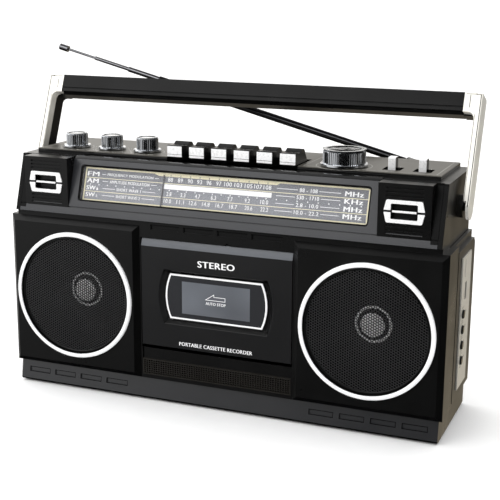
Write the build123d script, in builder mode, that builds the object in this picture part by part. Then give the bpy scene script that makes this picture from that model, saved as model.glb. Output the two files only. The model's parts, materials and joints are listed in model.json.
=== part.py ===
"""Portable stereo radio cassette recorder, millimetres, Z up, front towards -Y.

The origin is on the standing surface, under the middle of the cabinet.
"""
import os
from math import asin, atan2, cos, degrees, hypot, radians, sin

from build123d import *

os.makedirs("parts", exist_ok=True)

# Cabinet
HALF_W = 180.0          # outer side of the lower cabinet
UPPER_HALF_W = 174.5    # side of the upper cabinet
FOOT_H = 1.5            # rubber feet below the plinth
FRONT_Y = -48.0         # face of the loudspeaker boxes
BACK_Y = 47.5
SEAM_Y = -20.0          # where the front and rear cabinets meet
WALL = 2.5
EDGE = 4.4              # 45 degree chamfer of the loudspeaker boxes
PANEL_Y = FRONT_Y + EDGE
LOW_BOT = 18.8          # lower cabinet, above the plinth
LOW_TOP = 143.6
PLINTH_HALF_W = 177.3
PLINTH_Y = -44.4        # lower front edge of the plinth
PLINTH_RAKE = 2.6
TOP_Z = 192.0
BOX_INNER_X = 64.1      # inner side of each loudspeaker box

# Raked dial front
RAKE_Y0, RAKE_Z0 = -46.5, 147.8
RAKE_Y1, RAKE_Z1 = -33.0, 190.5
RAKE_LEN = hypot(RAKE_Y1 - RAKE_Y0, RAKE_Z1 - RAKE_Z0)
RAKE_DEG = degrees(atan2(RAKE_Y1 - RAKE_Y0, RAKE_Z1 - RAKE_Z0))
BEZEL_T = 2.0
BAND_TOP = 5.4          # band under the dial, measured up the rake
GROOVE = 1.0
DIAL_HALF_W = 119.3
DIAL_LOW, DIAL_HIGH = 11.4, 40.5
CELL_X0, CELL_X1 = 126.6, 165.6
CELL_Z0, CELL_Z1 = 153.0, TOP_Z
CELL_Y = -45.0

# Loudspeakers
SPEAKER_X, SPEAKER_Z = 121.8, 81.4
RING_R, RING_HOLE_R = 52.5, 48.7
RING_PROUD = 2.0
CAP_Y, CAP_R, CAP_H = -27.2, 13.2, 5.2      # dust cap: rim position, rim radius, dome height
DOME_R = (CAP_R ** 2 + CAP_H ** 2) / (2 * CAP_H)
CAP_HALF = asin(CAP_R / DOME_R) / 2

# Cassette door
DOOR_HALF_W = 62.9
DOOR_Z0, DOOR_Z1 = 47.0, 133.6
DOOR_T = 2.6
DOOR_GAP = 0.5
LIP_Z = 127.8           # lower edge of the sloped grip strip on the door
HINGE_Y, HINGE_Z = PANEL_Y + 3.8, 49.2
TAPE_W, TAPE_T = 100.4, 12.0
TAPE_Z0 = 58.0
REEL_X, REEL_Z = 21.25, 86.0

# Controls on the top
PLATE_HALF_W = 166.3
PLATE_Y0, PLATE_Y1 = -23.1, 44.6
PLATE_T = 3.4
PLATE_TOP = TOP_Z + PLATE_T
KNOB_Y = -7.0
KNOB_XS = (-139.0, -106.5, -74.7)
TUNE_X = 89.5
SWITCH_XS = (126.5, 149.5)
SWITCH_Y = -5.0
KEY_COUNT = 6
KEY_PITCH = 18.65
KEY_X0 = -42.3
KEY_W = 12.6
KEY_FRONT_Y = -24.5
KEY_PIVOT_Y, KEY_PIVOT_Z = 6.0, 184.0
SHAFT_R = 3.0
SPINDLE_R = 5.6         # tuning spindle that winds the pointer cord

# Handle, leaning back about its pivots
PIVOT_Y, PIVOT_Z = 5.0, 169.5
LEAN_DEG = 22.2
ARM_X0, ARM_X1 = 178.8, 183.4
ARM_HALF_D = 9.7
ARM_LEN = 83.5
GRIP_HALF_L = 170.3
GRIP_LOW = 68.8
GRIP_LIP = 69.4
GRIP_UNDER = 67.5

# Aerial
AERIAL_DEG = 14.53
AERIAL_Y = 56.0
AERIAL_X, AERIAL_Z = 134.0, 187.8
AERIAL_BASE_L = 236.0
AERIAL_STEP = 33.5

# Side panel and its four buttons
SIDE_X = 180.2
SIDE_Y0, SIDE_Y1 = -1.0, 30.5
BUTTON_Y = 7.2
BUTTON_Z0 = 50.0
BUTTON_PITCH = 12.2
BUTTON_R = 3.4

RAKE = Plane(origin=(0, RAKE_Y0, RAKE_Z0), x_dir=(1, 0, 0),
             z_dir=(0, -cos(radians(RAKE_DEG)), sin(radians(RAKE_DEG))))
PLINTH_LEAN = atan2(PLINTH_RAKE, LOW_BOT - FOOT_H - 1.6)
PLINTH_FACE = Plane(origin=(0, PLINTH_Y, FOOT_H + 1.6), x_dir=(1, 0, 0),
                    z_dir=(0, -cos(PLINTH_LEAN), sin(PLINTH_LEAN)))
ARM_PLANE = Plane(origin=(0, PIVOT_Y, PIVOT_Z), x_dir=(0, cos(radians(LEAN_DEG)), -sin(radians(LEAN_DEG))),
                  z_dir=(1, 0, 0))


def block(x, y, z, mode=Mode.ADD):
    """A box that spans the given x, y and z ranges."""
    with Locations(((x[0] + x[1]) / 2, (y[0] + y[1]) / 2, (z[0] + z[1]) / 2)):
        Box(x[1] - x[0], y[1] - y[0], z[1] - z[0], mode=mode)


def rod_y(x, z, y, r, mode=Mode.ADD):
    """A cylinder along Y that spans the given y range."""
    with Locations((x, (y[0] + y[1]) / 2, z)):
        Cylinder(r, y[1] - y[0], rotation=(90, 0, 0), mode=mode)


def rod_x(y, z, x, r, mode=Mode.ADD):
    """A cylinder along X that spans the given x range."""
    with Locations(((x[0] + x[1]) / 2, y, z)):
        Cylinder(r, x[1] - x[0], rotation=(0, 90, 0), mode=mode)


def rod_z(x, y, z, r, mode=Mode.ADD):
    """A cylinder along Z that spans the given z range."""
    with Locations((x, y, (z[0] + z[1]) / 2)):
        Cylinder(r, z[1] - z[0], mode=mode)


def profile_x(points, x, mode=Mode.ADD):
    """A (y, z) outline extruded over the given x range."""
    with BuildSketch(Plane.YZ.offset(x[0])) as outline:
        with BuildLine():
            Polyline(points, close=True)
        make_face()
    extrude(outline.sketch, amount=x[1] - x[0], mode=mode)


def save(part, name):
    """Label a finished piece and write it."""
    part.label = name
    export_step(part, f"parts/{name}.step")


def key_x(n):
    return KEY_X0 + n * KEY_PITCH


def button_z(n):
    return BUTTON_Z0 + n * BUTTON_PITCH


def on_rake(v, out=0.0):
    """The (y, z) of a point v up the raked front and out from it."""
    lean = radians(RAKE_DEG)
    return (RAKE_Y0 + v * sin(lean) - out * cos(lean), RAKE_Z0 + v * cos(lean) + out * sin(lean))


# ---- Front cabinet: plinth, two loudspeaker boxes, middle panel and raked dial front ----
WELL_X = (key_x(0) - KEY_W / 2 - 1.0, key_x(KEY_COUNT - 1) + KEY_W / 2 + 1.0)
WELL_Y = (KEY_FRONT_Y - 2.5, 10.0)
SKIN = [on_rake(0, -BEZEL_T), on_rake(RAKE_LEN, -BEZEL_T)]

with BuildPart() as front_cabinet:
    profile_x([(PLINTH_Y + 1.4, FOOT_H), (PLINTH_Y, FOOT_H + 1.6), (PLINTH_Y + PLINTH_RAKE, LOW_BOT),
               (SEAM_Y, LOW_BOT), (SEAM_Y, FOOT_H)], (-PLINTH_HALF_W, PLINTH_HALF_W))
    block((-HALF_W, HALF_W), (PANEL_Y, SEAM_Y), (LOW_BOT, LOW_TOP))
    with BuildSketch(Plane.XZ.offset(-PANEL_Y)):
        for side in (-1, 1):
            with Locations((side * (BOX_INNER_X + HALF_W) / 2, (LOW_BOT + LOW_TOP) / 2)):
                Rectangle(HALF_W - BOX_INNER_X, LOW_TOP - LOW_BOT)
    extrude(amount=EDGE, taper=45)
    profile_x([(PANEL_Y, LOW_TOP), (PANEL_Y, RAKE_Z0), SKIN[0], SKIN[1], (SKIN[1][0], TOP_Z), (SEAM_Y, TOP_Z),
               (SEAM_Y, LOW_TOP)], (-UPPER_HALF_W, UPPER_HALF_W))
    for side in (-1, 1):
        cheek = sorted((side * 171.0, side * UPPER_HALF_W))
        profile_x([(RAKE_Y0, RAKE_Z0), (RAKE_Y1, RAKE_Z1), (RAKE_Y1, TOP_Z), (SEAM_Y, TOP_Z), (SEAM_Y, RAKE_Z0)],
                  cheek)
    # hollow inside
    profile_x([(-39.5, FOOT_H + WALL), (-38.0, LOW_BOT + WALL), (SEAM_Y, LOW_BOT + WALL), (SEAM_Y, FOOT_H + WALL)],
              (-PLINTH_HALF_W + WALL, PLINTH_HALF_W - WALL), Mode.SUBTRACT)
    block((-HALF_W + WALL, HALF_W - WALL), (PANEL_Y + WALL, SEAM_Y), (LOW_BOT, LOW_TOP - WALL), Mode.SUBTRACT)
    for side in (-1, 1):
        hollow = sorted((side * (BOX_INNER_X + EDGE), side * (HALF_W - EDGE)))
        block(hollow, (FRONT_Y + WALL, SEAM_Y), (LOW_BOT + EDGE, LOW_TOP - EDGE), Mode.SUBTRACT)
    profile_x([(PANEL_Y + WALL, LOW_TOP - WALL - 1), on_rake(2, -BEZEL_T - WALL), on_rake(43.5, -BEZEL_T - WALL),
               (on_rake(43.5, -BEZEL_T - WALL)[0], TOP_Z - WALL), (SEAM_Y, TOP_Z - WALL),
               (SEAM_Y, LOW_TOP - WALL - 1)],
              (-UPPER_HALF_W + WALL, UPPER_HALF_W - WALL), Mode.SUBTRACT)
    # loudspeaker, door and vent openings
    for side in (-1, 1):
        rod_y(side * SPEAKER_X, SPEAKER_Z, (FRONT_Y - 1, SEAM_Y), RING_R - 1.5, Mode.SUBTRACT)
    block((-DOOR_HALF_W - DOOR_GAP, DOOR_HALF_W + DOOR_GAP), (FRONT_Y, SEAM_Y),
          (DOOR_Z0 - 3.0, DOOR_Z1 + DOOR_GAP), Mode.SUBTRACT)
    block((-DOOR_HALF_W, DOOR_HALF_W), (PANEL_Y - 1, PANEL_Y + 1.2), (35.2, DOOR_Z0 - 2.9), Mode.SUBTRACT)
    for side in (-1, 1):
        ear_x = sorted((side * (DOOR_HALF_W + 0.7), side * (DOOR_HALF_W + 7)))
        block(ear_x, (PANEL_Y + WALL - 0.1, PANEL_Y + 6.5), (HINGE_Z - 3, HINGE_Z + 3))
        pin_x = sorted((side * 50.0, side * (DOOR_HALF_W + 2)))
        rod_x(HINGE_Y, HINGE_Z, pin_x, 1.0)
    block((-DOOR_HALF_W, DOOR_HALF_W), (FRONT_Y, SEAM_Y), (21.8, 35.2), Mode.SUBTRACT)
    # shallow rectangles on the plinth, slots and a notch above the door
    with BuildSketch(PLINTH_FACE):
        for side in (-1, 1):
            for n in range(4):
                with Locations((side * (87.3 + 24.2 * n), 8.0)):
                    Rectangle(19.6, 4.4)
    extrude(amount=-0.8, mode=Mode.SUBTRACT)
    for n in range(4):
        x = 28.2 * (n - 1.5)
        block((x - 12.0, x + 12.0), (PANEL_Y - 1, PANEL_Y + 0.8), (141.1, 144.5), Mode.SUBTRACT)
    rod_y(10.0, DOOR_Z1 + DOOR_GAP, (PANEL_Y - 1, PANEL_Y + 2), 1.6, Mode.SUBTRACT)
    # dial window and the holes in the top
    with BuildSketch(RAKE):
        with Locations((0, (DIAL_LOW + DIAL_HIGH) / 2 - 2)):
            Rectangle(2 * DIAL_HALF_W, DIAL_HIGH - DIAL_LOW + 4)
    extrude(amount=-8, mode=Mode.SUBTRACT)
    block(WELL_X, (WELL_Y[0], SEAM_Y), (TOP_Z - 6, TOP_Z + 1), Mode.SUBTRACT)
    rod_z(TUNE_X, KNOB_Y, (TOP_Z - 6, TOP_Z + 1), 7.0, Mode.SUBTRACT)
save(front_cabinet.part, "front_cabinet")

# ---- Rear cabinet: back wall, raised side frames, battery bay and handle bosses ----
BAY_X, BAY_Z, BAY_Y = (-85.0, 85.0), (24.0, 58.0), 12.0
BAY_PIN_Y, BAY_PIN_Z = BACK_Y - 1.0, 21.5
with BuildPart() as rear_cabinet:
    block((-PLINTH_HALF_W, PLINTH_HALF_W), (SEAM_Y, BACK_Y), (FOOT_H, LOW_BOT))
    block((-HALF_W, HALF_W), (SEAM_Y, -14.5), (LOW_BOT, LOW_TOP))
    block((-PLINTH_HALF_W, PLINTH_HALF_W), (-14.5, BACK_Y), (LOW_BOT, LOW_TOP))
    for side in (-1, 1):
        frame_x = sorted((side * (PLINTH_HALF_W - 5), side * SIDE_X))
        profile_x([(-13.0, LOW_BOT + 3), (BACK_Y, LOW_BOT + 3), (BACK_Y, 134.0), (43.5, 138.5), (-13.0, 138.5)],
                  frame_x)
    block((-UPPER_HALF_W, UPPER_HALF_W), (SEAM_Y, BACK_Y), (LOW_TOP, TOP_Z))
    top_back = rear_cabinet.edges().filter_by(Axis.X).group_by(Axis.Z)[-1].sort_by(Axis.Y)[-1]
    chamfer(top_back, 2.5)
    # hollow inside, open towards the front cabinet
    block((-PLINTH_HALF_W + WALL, PLINTH_HALF_W - WALL), (SEAM_Y, BACK_Y - WALL), (FOOT_H + WALL, LOW_TOP),
          Mode.SUBTRACT)
    block((-UPPER_HALF_W + WALL, UPPER_HALF_W - WALL), (SEAM_Y, BACK_Y - WALL), (LOW_TOP - 1, TOP_Z - WALL),
          Mode.SUBTRACT)
    # battery bay walls, open at the back
    block((BAY_X[0] - 2, BAY_X[1] + 2), (BAY_Y - 2, BACK_Y - 1), (BAY_Z[0] - 2, BAY_Z[1] + 2))
    block(BAY_X, (BAY_Y, BACK_Y + 1), BAY_Z, Mode.SUBTRACT)
    block((BAY_X[0] - 4, BAY_X[1] + 4), (BACK_Y - 2.45, BACK_Y + 1), (BAY_Z[0] - 4, BAY_Z[1] + 4), Mode.SUBTRACT)
    rod_x(BAY_PIN_Y, BAY_PIN_Z, (BAY_X[0] - 5.5, BAY_X[1] + 5.5), 0.65, Mode.SUBTRACT)
    # key well, control shafts and side openings
    block(WELL_X, (SEAM_Y, WELL_Y[1]), (TOP_Z - 6, TOP_Z + 1), Mode.SUBTRACT)
    for x in KNOB_XS + (TUNE_X,):
        rod_z(x, KNOB_Y, (TOP_Z - 6, TOP_Z + 1), 7.0, Mode.SUBTRACT)
    for x in SWITCH_XS:
        block((x - 7, x + 7), (SWITCH_Y - 8, SWITCH_Y + 8), (TOP_Z - 6, TOP_Z + 1), Mode.SUBTRACT)
    block((PLINTH_HALF_W - 6, SIDE_X + 1), (SIDE_Y0 + 3, SIDE_Y1 - 3), (33.0, 129.0), Mode.SUBTRACT)
    for side in (-1, 1):
        boss_x = sorted((side * (UPPER_HALF_W - 0.5), side * (ARM_X0 - 0.3)))
        rod_x(PIVOT_Y, PIVOT_Z, boss_x, 8.5)
        pin_x = sorted((side * (ARM_X0 - 0.5), side * (ARM_X0 + 2.6)))
        rod_x(PIVOT_Y, PIVOT_Z, pin_x, 3.5)
    # vent slots and screw recesses in the back wall
    for n in range(9):
        z = 112.0 + 5.0 * n
        block((-58.0, 58.0), (BACK_Y - 4, BACK_Y + 1), (z - 1.0, z + 1.0), Mode.SUBTRACT)
    for x in (-166.0, 0.0, 166.0):
        for z in (10.0, 182.0):
            rod_y(x, z, (BACK_Y - 14.0, BACK_Y - 1.0), 6.0)
            rod_y(x, z, (BACK_Y - 6.0, BACK_Y + 1), 4.0, Mode.SUBTRACT)
    # mains inlet opening in the back wall
    block((-140.0, -116.0), (BACK_Y - 4, BACK_Y + 1), (30.0, 46.0), Mode.SUBTRACT)
save(rear_cabinet.part, "rear_cabinet")

# ---- Rubber feet under the plinth: one near each corner and one in the middle ----
with BuildPart() as feet:
    for x in (-150.0, 150.0):
        for y in (-32.0, 36.0):
            rod_z(x, y, (0.0, FOOT_H), 8.0)
    rod_z(0.0, 0.0, (0.0, FOOT_H), 8.0)
save(feet.part, "feet")

# ---- Grey dial bezel and the band below it ----
with BuildPart() as dial_bezel:
    with BuildSketch(RAKE.offset(-BEZEL_T)):
        with Locations((0, RAKE_LEN / 2)):
            Rectangle(341.6, RAKE_LEN)
        with Locations((0, (DIAL_LOW + DIAL_HIGH) / 2)):
            RectangleRounded(2 * DIAL_HALF_W, DIAL_HIGH - DIAL_LOW, 2.5, mode=Mode.SUBTRACT)
    extrude(amount=BEZEL_T)
    with BuildSketch(RAKE):
        with Locations((0, BAND_TOP + GROOVE / 2)):
            Rectangle(342, GROOVE)
    extrude(amount=-1.0, mode=Mode.SUBTRACT)
save(dial_bezel.part, "dial_bezel")

# ---- Vertical end panels of the dial front, with their vent slots ----
with BuildPart() as cell_panels:
    for side in (-1, 1):
        panel_x = sorted((side * CELL_X0, side * CELL_X1))
        profile_x([(CELL_Y, CELL_Z0), (CELL_Y, CELL_Z1), (RAKE_Y1, CELL_Z1), (RAKE_Y1, RAKE_Z1),
                   on_rake((CELL_Z0 - RAKE_Z0) / cos(radians(RAKE_DEG)))], panel_x)
        middle = side * (CELL_X0 + CELL_X1) / 2
        for z in (155.6, 158.4, 161.2, 183.0, 185.8, 188.6):
            block((middle - 13.5, middle + 13.5), (CELL_Y - 1, CELL_Y + 1.2), (z - 0.5, z + 0.5), Mode.SUBTRACT)
        block((middle - 9.7, middle + 9.7), (CELL_Y - 1, CELL_Y + 4), (166.6, 177.3), Mode.SUBTRACT)
save(cell_panels.part, "cell_panels")

# ---- Chrome surrounds of the end panels, each with its bar ----
with BuildPart() as cell_rings:
    for side in (-1, 1):
        middle = side * (CELL_X0 + CELL_X1) / 2
        with BuildSketch(Plane.XZ.offset(-CELL_Y)):
            with BuildLine():
                Polyline([(middle - 13.2, 179.9), (middle + 13.2, 179.9), (middle + 15.2, 172.0),
                          (middle + 13.2, 164.1), (middle - 13.2, 164.1), (middle - 15.2, 172.0)], close=True)
            make_face()
            with Locations((middle, 172.0)):
                RectangleRounded(19.6, 10.9, 1.2, mode=Mode.SUBTRACT)
        extrude(amount=1.2)
        block((middle - 9.8, middle + 9.8), (CELL_Y - 1.0, CELL_Y - 0.1), (170.6, 173.0))
save(cell_rings.part, "cell_rings")

# ---- Dial: black inner frame, printed scale and clear window ----
with BuildPart() as dial_frame:
    with BuildSketch(RAKE.offset(-2.9)):
        with Locations((0, (DIAL_LOW + DIAL_HIGH) / 2)):
            RectangleRounded(2 * DIAL_HALF_W - 0.2, DIAL_HIGH - DIAL_LOW - 0.2, 2.4)
            RectangleRounded(2 * DIAL_HALF_W - 2.6, DIAL_HIGH - DIAL_LOW - 2.6, 1.6, mode=Mode.SUBTRACT)
    extrude(amount=2.3)
save(dial_frame.part, "dial_frame")

with BuildPart() as dial_scale:
    with BuildSketch(RAKE.offset(-BEZEL_T - WALL - 1.2)):
        with Locations((0, (DIAL_LOW + DIAL_HIGH) / 2 + 1)):
            Rectangle(2 * DIAL_HALF_W + 5, DIAL_HIGH - DIAL_LOW + 2)
    extrude(amount=1.2)
save(dial_scale.part, "dial_scale")

with BuildPart() as dial_window:
    with BuildSketch(RAKE.offset(-2.6)):
        with Locations((0, (DIAL_LOW + DIAL_HIGH) / 2)):
            RectangleRounded(2 * DIAL_HALF_W - 2.7, DIAL_HIGH - DIAL_LOW - 2.7, 1.5)
    extrude(amount=1.2)
save(dial_window.part, "dial_window")

# ---- Tuning pointer, which slides along the dial between scale and window ----
POINTER_X = -47.9
with BuildPart() as dial_pointer:
    with BuildSketch(RAKE.offset(-4.0)):
        with Locations((POINTER_X, (DIAL_LOW + DIAL_HIGH) / 2 - 2.5)):
            Rectangle(0.7, DIAL_HIGH - DIAL_LOW - 1.0)
    extrude(amount=0.8)
    with BuildSketch(RAKE.offset(-4.0)):
        with Locations((POINTER_X, DIAL_LOW - 1.6)):
            Rectangle(3.0, 2.0)
    extrude(amount=-6.0)
save(dial_pointer.part, "dial_pointer")

# ---- Control plate on the top ----
with BuildPart() as control_plate:
    block((-PLATE_HALF_W, PLATE_HALF_W), (PLATE_Y0, PLATE_Y1), (TOP_Z, PLATE_TOP))
    chamfer(control_plate.edges().group_by(Axis.Z)[-1], 0.5)
    block(WELL_X, (PLATE_Y0 - 1, WELL_Y[1]), (TOP_Z - 1, PLATE_TOP + 1), Mode.SUBTRACT)
    for x in KNOB_XS + (TUNE_X,):
        rod_z(x, KNOB_Y, (TOP_Z - 1, PLATE_TOP + 1), 4.5, Mode.SUBTRACT)
    for x in SWITCH_XS:
        block((x - 6.8, x + 6.8), (SWITCH_Y - 7, SWITCH_Y + 7), (TOP_Z - 1, PLATE_TOP + 1), Mode.SUBTRACT)
save(control_plate.part, "control_plate")

# ---- Loudspeakers: ring, perforated grille, driver and cone, one set each side ----
for name, side in (("left", -1), ("right", 1)):
    x = side * SPEAKER_X
    with BuildPart() as ring:
        with BuildSketch(Plane.XZ.offset(-FRONT_Y)):
            with Locations((x, SPEAKER_Z)):
                Circle(RING_R)
                Circle(RING_HOLE_R, mode=Mode.SUBTRACT)
        extrude(amount=RING_PROUD)
        rim = ring.edges().filter_by(GeomType.CIRCLE).group_by(Axis.Y)[0].sort_by(SortBy.RADIUS)[-1]
        chamfer(rim, 0.8)
    save(ring.part, f"speaker_ring_{name}")

    with BuildPart() as grille:
        rod_y(x, SPEAKER_Z, (FRONT_Y + 0.2, FRONT_Y + 1.0), RING_R - 1.6)
    save(grille.part, f"speaker_grille_{name}")

    with BuildPart() as driver:
        with BuildSketch(Plane.YZ.offset(x)):
            with BuildLine():
                Polyline([(FRONT_Y + 1.2, SPEAKER_Z + 47.0), (FRONT_Y + 1.2, SPEAKER_Z + 50.6),
                          (FRONT_Y + 4.0, SPEAKER_Z + 50.6), (-22.0, SPEAKER_Z + 26.0), (-20.0, SPEAKER_Z + 26.0),
                          (-20.0, SPEAKER_Z + 35.0), (-5.0, SPEAKER_Z + 35.0), (-5.0, SPEAKER_Z),
                          (-21.5, SPEAKER_Z), (-21.5, SPEAKER_Z + 23.0), (-23.5, SPEAKER_Z + 23.5),
                          (FRONT_Y + 3.6, SPEAKER_Z + 47.0)], close=True)
            make_face()
        revolve(axis=Axis((x, 0, SPEAKER_Z), (0, 1, 0)))
    save(driver.part, f"speaker_driver_{name}")

    with BuildPart() as cone:
        with BuildSketch(Plane.YZ.offset(x)):
            with BuildLine():
                Polyline([(FRONT_Y + 2.6, SPEAKER_Z + 46.6), (FRONT_Y + 2.6, SPEAKER_Z + 42.0),
                          (CAP_Y, SPEAKER_Z + CAP_R)])
                ThreePointArc((CAP_Y, SPEAKER_Z + CAP_R),
                              (CAP_Y - CAP_H + DOME_R * (1 - cos(CAP_HALF)), SPEAKER_Z + DOME_R * sin(CAP_HALF)),
                              (CAP_Y - CAP_H, SPEAKER_Z))
                Polyline([(CAP_Y - CAP_H, SPEAKER_Z), (-22.6, SPEAKER_Z), (-22.6, SPEAKER_Z + 12.6),
                          (-25.2, SPEAKER_Z + 14.0), (FRONT_Y + 3.4, SPEAKER_Z + 43.5),
                          (FRONT_Y + 3.4, SPEAKER_Z + 46.6), (FRONT_Y + 2.6, SPEAKER_Z + 46.6)])
            make_face()
        revolve(axis=Axis((x, 0, SPEAKER_Z), (0, 1, 0)))
    save(cone.part, f"speaker_cone_{name}")

# ---- Square-hole vent strip below the door ----
with BuildPart() as vent_grille:
    block((-DOOR_HALF_W + 0.1, DOOR_HALF_W - 0.1), (PANEL_Y - 0.2, PANEL_Y + 1.8), (21.9, 35.1))
save(vent_grille.part, "vent_grille")

# ---- Cassette door: panel with a sloped grip strip and a window opening ----
with BuildPart() as door_panel:
    block((-DOOR_HALF_W, DOOR_HALF_W), (PANEL_Y - 0.3, PANEL_Y - 0.3 + DOOR_T), (DOOR_Z0, LIP_Z))
    profile_x([(PANEL_Y - 0.3, LIP_Z), (PANEL_Y + 1.6, DOOR_Z1), (PANEL_Y - 0.3 + DOOR_T + 1.2, DOOR_Z1),
               (PANEL_Y - 0.3 + DOOR_T, LIP_Z)], (-DOOR_HALF_W, DOOR_HALF_W))
    block((-52.5, 52.5), (PANEL_Y + 2.0, PANEL_Y + 4.4), (TAPE_Z0 + 2.0, 116.0))
    with BuildSketch(Plane.XZ.offset(-PANEL_Y + 0.3)) as recess:
        with BuildLine():
            Line((-43.2, 110.4), (43.2, 110.4))
            ThreePointArc((43.2, 110.4), (47.9, 89.2), (43.2, 66.6))
            Line((43.2, 66.6), (-43.2, 66.6))
            ThreePointArc((-43.2, 66.6), (-47.9, 89.2), (-43.2, 110.4))
        make_face()
    extrude(amount=-3.6, taper=38, mode=Mode.SUBTRACT)
    block((-37.0, 37.0), (PANEL_Y - 1, PANEL_Y + 6), (72.6, 105.5), Mode.SUBTRACT)
    # hinge barrel along the lower edge
    for x in (-58.0, 50.0):
        rod_x(HINGE_Y, HINGE_Z, (x, x + 8.0), 2.2)
        rod_x(HINGE_Y, HINGE_Z, (x - 1.0, x + 9.0), 1.05, Mode.SUBTRACT)
save(door_panel.part, "door_panel")

with BuildPart() as door_window:
    block((-36.9, 36.9), (PANEL_Y + 3.0, PANEL_Y + 4.2), (72.7, 105.4))
save(door_window.part, "door_window")

# ---- Cassette holder behind the door: two side channels and a shelf ----
HOLD_Y0 = PANEL_Y + 4.5
HOLD_Y1 = HOLD_Y0 + TAPE_T + 0.6
with BuildPart() as cassette_holder:
    for side in (-1, 1):
        wall_x = sorted((side * (TAPE_W / 2 + 0.5), side * (TAPE_W / 2 + 2.0)))
        block(wall_x, (HOLD_Y0, HOLD_Y1 + 1.4), (TAPE_Z0 - 1.5, 112.0))
        lip_x = sorted((side * (TAPE_W / 2 - 4.0), side * (TAPE_W / 2 + 1.0)))
        block(lip_x, (HOLD_Y1, HOLD_Y1 + 1.4), (TAPE_Z0 - 1.5, 112.0))
    block((-TAPE_W / 2 - 1, TAPE_W / 2 + 1), (HOLD_Y0, HOLD_Y1 + 1.4), (TAPE_Z0 - 1.5, TAPE_Z0))
save(cassette_holder.part, "cassette_holder")

# ---- Tape mechanism: chassis, reel hubs, flywheel, head plate and motor ----
CHASSIS_Y = -21.0
CAPSTAN_X, CAPSTAN_Z = 14.0, 117.0
MOTOR_X, MOTOR_Z = -40.0, 82.0
with BuildPart() as tape_chassis:
    block((-60.0, 60.0), (CHASSIS_Y, CHASSIS_Y + 1.6), (50.0, 132.0))
    for x in (-REEL_X, REEL_X):
        rod_y(x, REEL_Z, (CHASSIS_Y - 1, CHASSIS_Y + 2), 2.05, Mode.SUBTRACT)
    rod_y(CAPSTAN_X, CAPSTAN_Z, (CHASSIS_Y - 1, CHASSIS_Y + 2), 2.05, Mode.SUBTRACT)
    for x in (-58.0, 52.0):
        block((x, x + 6.0), (CHASSIS_Y + 1.6, 22.0), (126.0, 131.0))
    rod_y(MOTOR_X, MOTOR_Z, (CHASSIS_Y + 1.6, CHASSIS_Y + 26.0), 17.0)
    # head block and pinch roller bracket above the tape
    block((-8.0, 8.0), (CHASSIS_Y - 14.0, CHASSIS_Y + 1.0), (124.0, 131.0))
save(tape_chassis.part, "tape_chassis")

for name, x in (("left", -REEL_X), ("right", REEL_X)):
    with BuildPart() as reel:
        rod_y(x, REEL_Z, (CHASSIS_Y - 4.2, CHASSIS_Y - 0.4), 8.0)
        rod_y(x, REEL_Z, (CHASSIS_Y - 15.0, CHASSIS_Y - 4.2), 3.2)
        for turn in range(3):
            angle = radians(120 * turn + 90)
            fin_x, fin_z = x + 3.6 * cos(angle), REEL_Z + 3.6 * sin(angle)
            rod_y(fin_x, fin_z, (CHASSIS_Y - 14.0, CHASSIS_Y - 4.2), 1.0)
        rod_y(x, REEL_Z, (CHASSIS_Y - 0.4, CHASSIS_Y + 3.2), 2.0)
    save(reel.part, f"reel_{name}")

with BuildPart() as flywheel:
    rod_y(CAPSTAN_X, CAPSTAN_Z, (CHASSIS_Y - 14.0, CHASSIS_Y + 12.0), 1.25)
    rod_y(CAPSTAN_X, CAPSTAN_Z, (CHASSIS_Y - 0.4, CHASSIS_Y + 3.2), 2.0)
    rod_y(CAPSTAN_X, CAPSTAN_Z, (CHASSIS_Y + 3.2, CHASSIS_Y + 10.0), 25.0)
save(flywheel.part, "flywheel")

# ---- Piano keys: hinged at the back, each with a hump behind its finger dip ----
KEY_BACK_Y = KEY_PIVOT_Y + 3.2
for n in range(KEY_COUNT):
    x = key_x(n)
    with BuildPart() as key:
        with BuildSketch(Plane.YZ.offset(x - KEY_W / 2)):
            with BuildLine():
                Polyline([(KEY_FRONT_Y + 2.0, 193.4), (KEY_FRONT_Y, 195.8), (KEY_FRONT_Y, 204.4),
                          (KEY_FRONT_Y + 0.8, 205.0), (KEY_FRONT_Y + 4.0, 204.8)])
                ThreePointArc((KEY_FRONT_Y + 4.0, 204.8), (KEY_FRONT_Y + 8.5, 203.9), (KEY_FRONT_Y + 12.5, 204.6))
                ThreePointArc((KEY_FRONT_Y + 12.5, 204.6), (KEY_FRONT_Y + 16.5, 206.2), (KEY_FRONT_Y + 20.5, 204.4))
                Polyline([(KEY_FRONT_Y + 20.5, 204.4), (KEY_FRONT_Y + 25.5, 197.0), (KEY_BACK_Y, 189.0),
                          (KEY_BACK_Y, KEY_PIVOT_Z - 3.2), (KEY_PIVOT_Y - 3.2, KEY_PIVOT_Z - 3.2),
                          (KEY_PIVOT_Y - 3.2, 190.0), (KEY_PIVOT_Y - 8.0, 193.4), (KEY_FRONT_Y + 2.0, 193.4)])
            make_face()
        extrude(amount=KEY_W)
        rod_x(KEY_PIVOT_Y, KEY_PIVOT_Z, (x - KEY_W, x + KEY_W), 1.55, Mode.SUBTRACT)
    save(key.part, f"key_{n + 1}")

# ---- Key bank frame with the rod that the keys turn on ----
with BuildPart() as key_bank:
    for x in (WELL_X[0] - 3.0, WELL_X[1] + 0.5):
        block((x, x + 2.5), (-22.0, 12.0), (172.0, TOP_Z - WALL))
    block((WELL_X[0] - 3.0, WELL_X[1] + 3.0), (-22.0, 12.0), (170.0, 172.0))
    rod_x(KEY_PIVOT_Y, KEY_PIVOT_Z, (WELL_X[0] - 3.0, WELL_X[1] + 3.0), 1.5)
save(key_bank.part, "key_bank")

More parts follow.
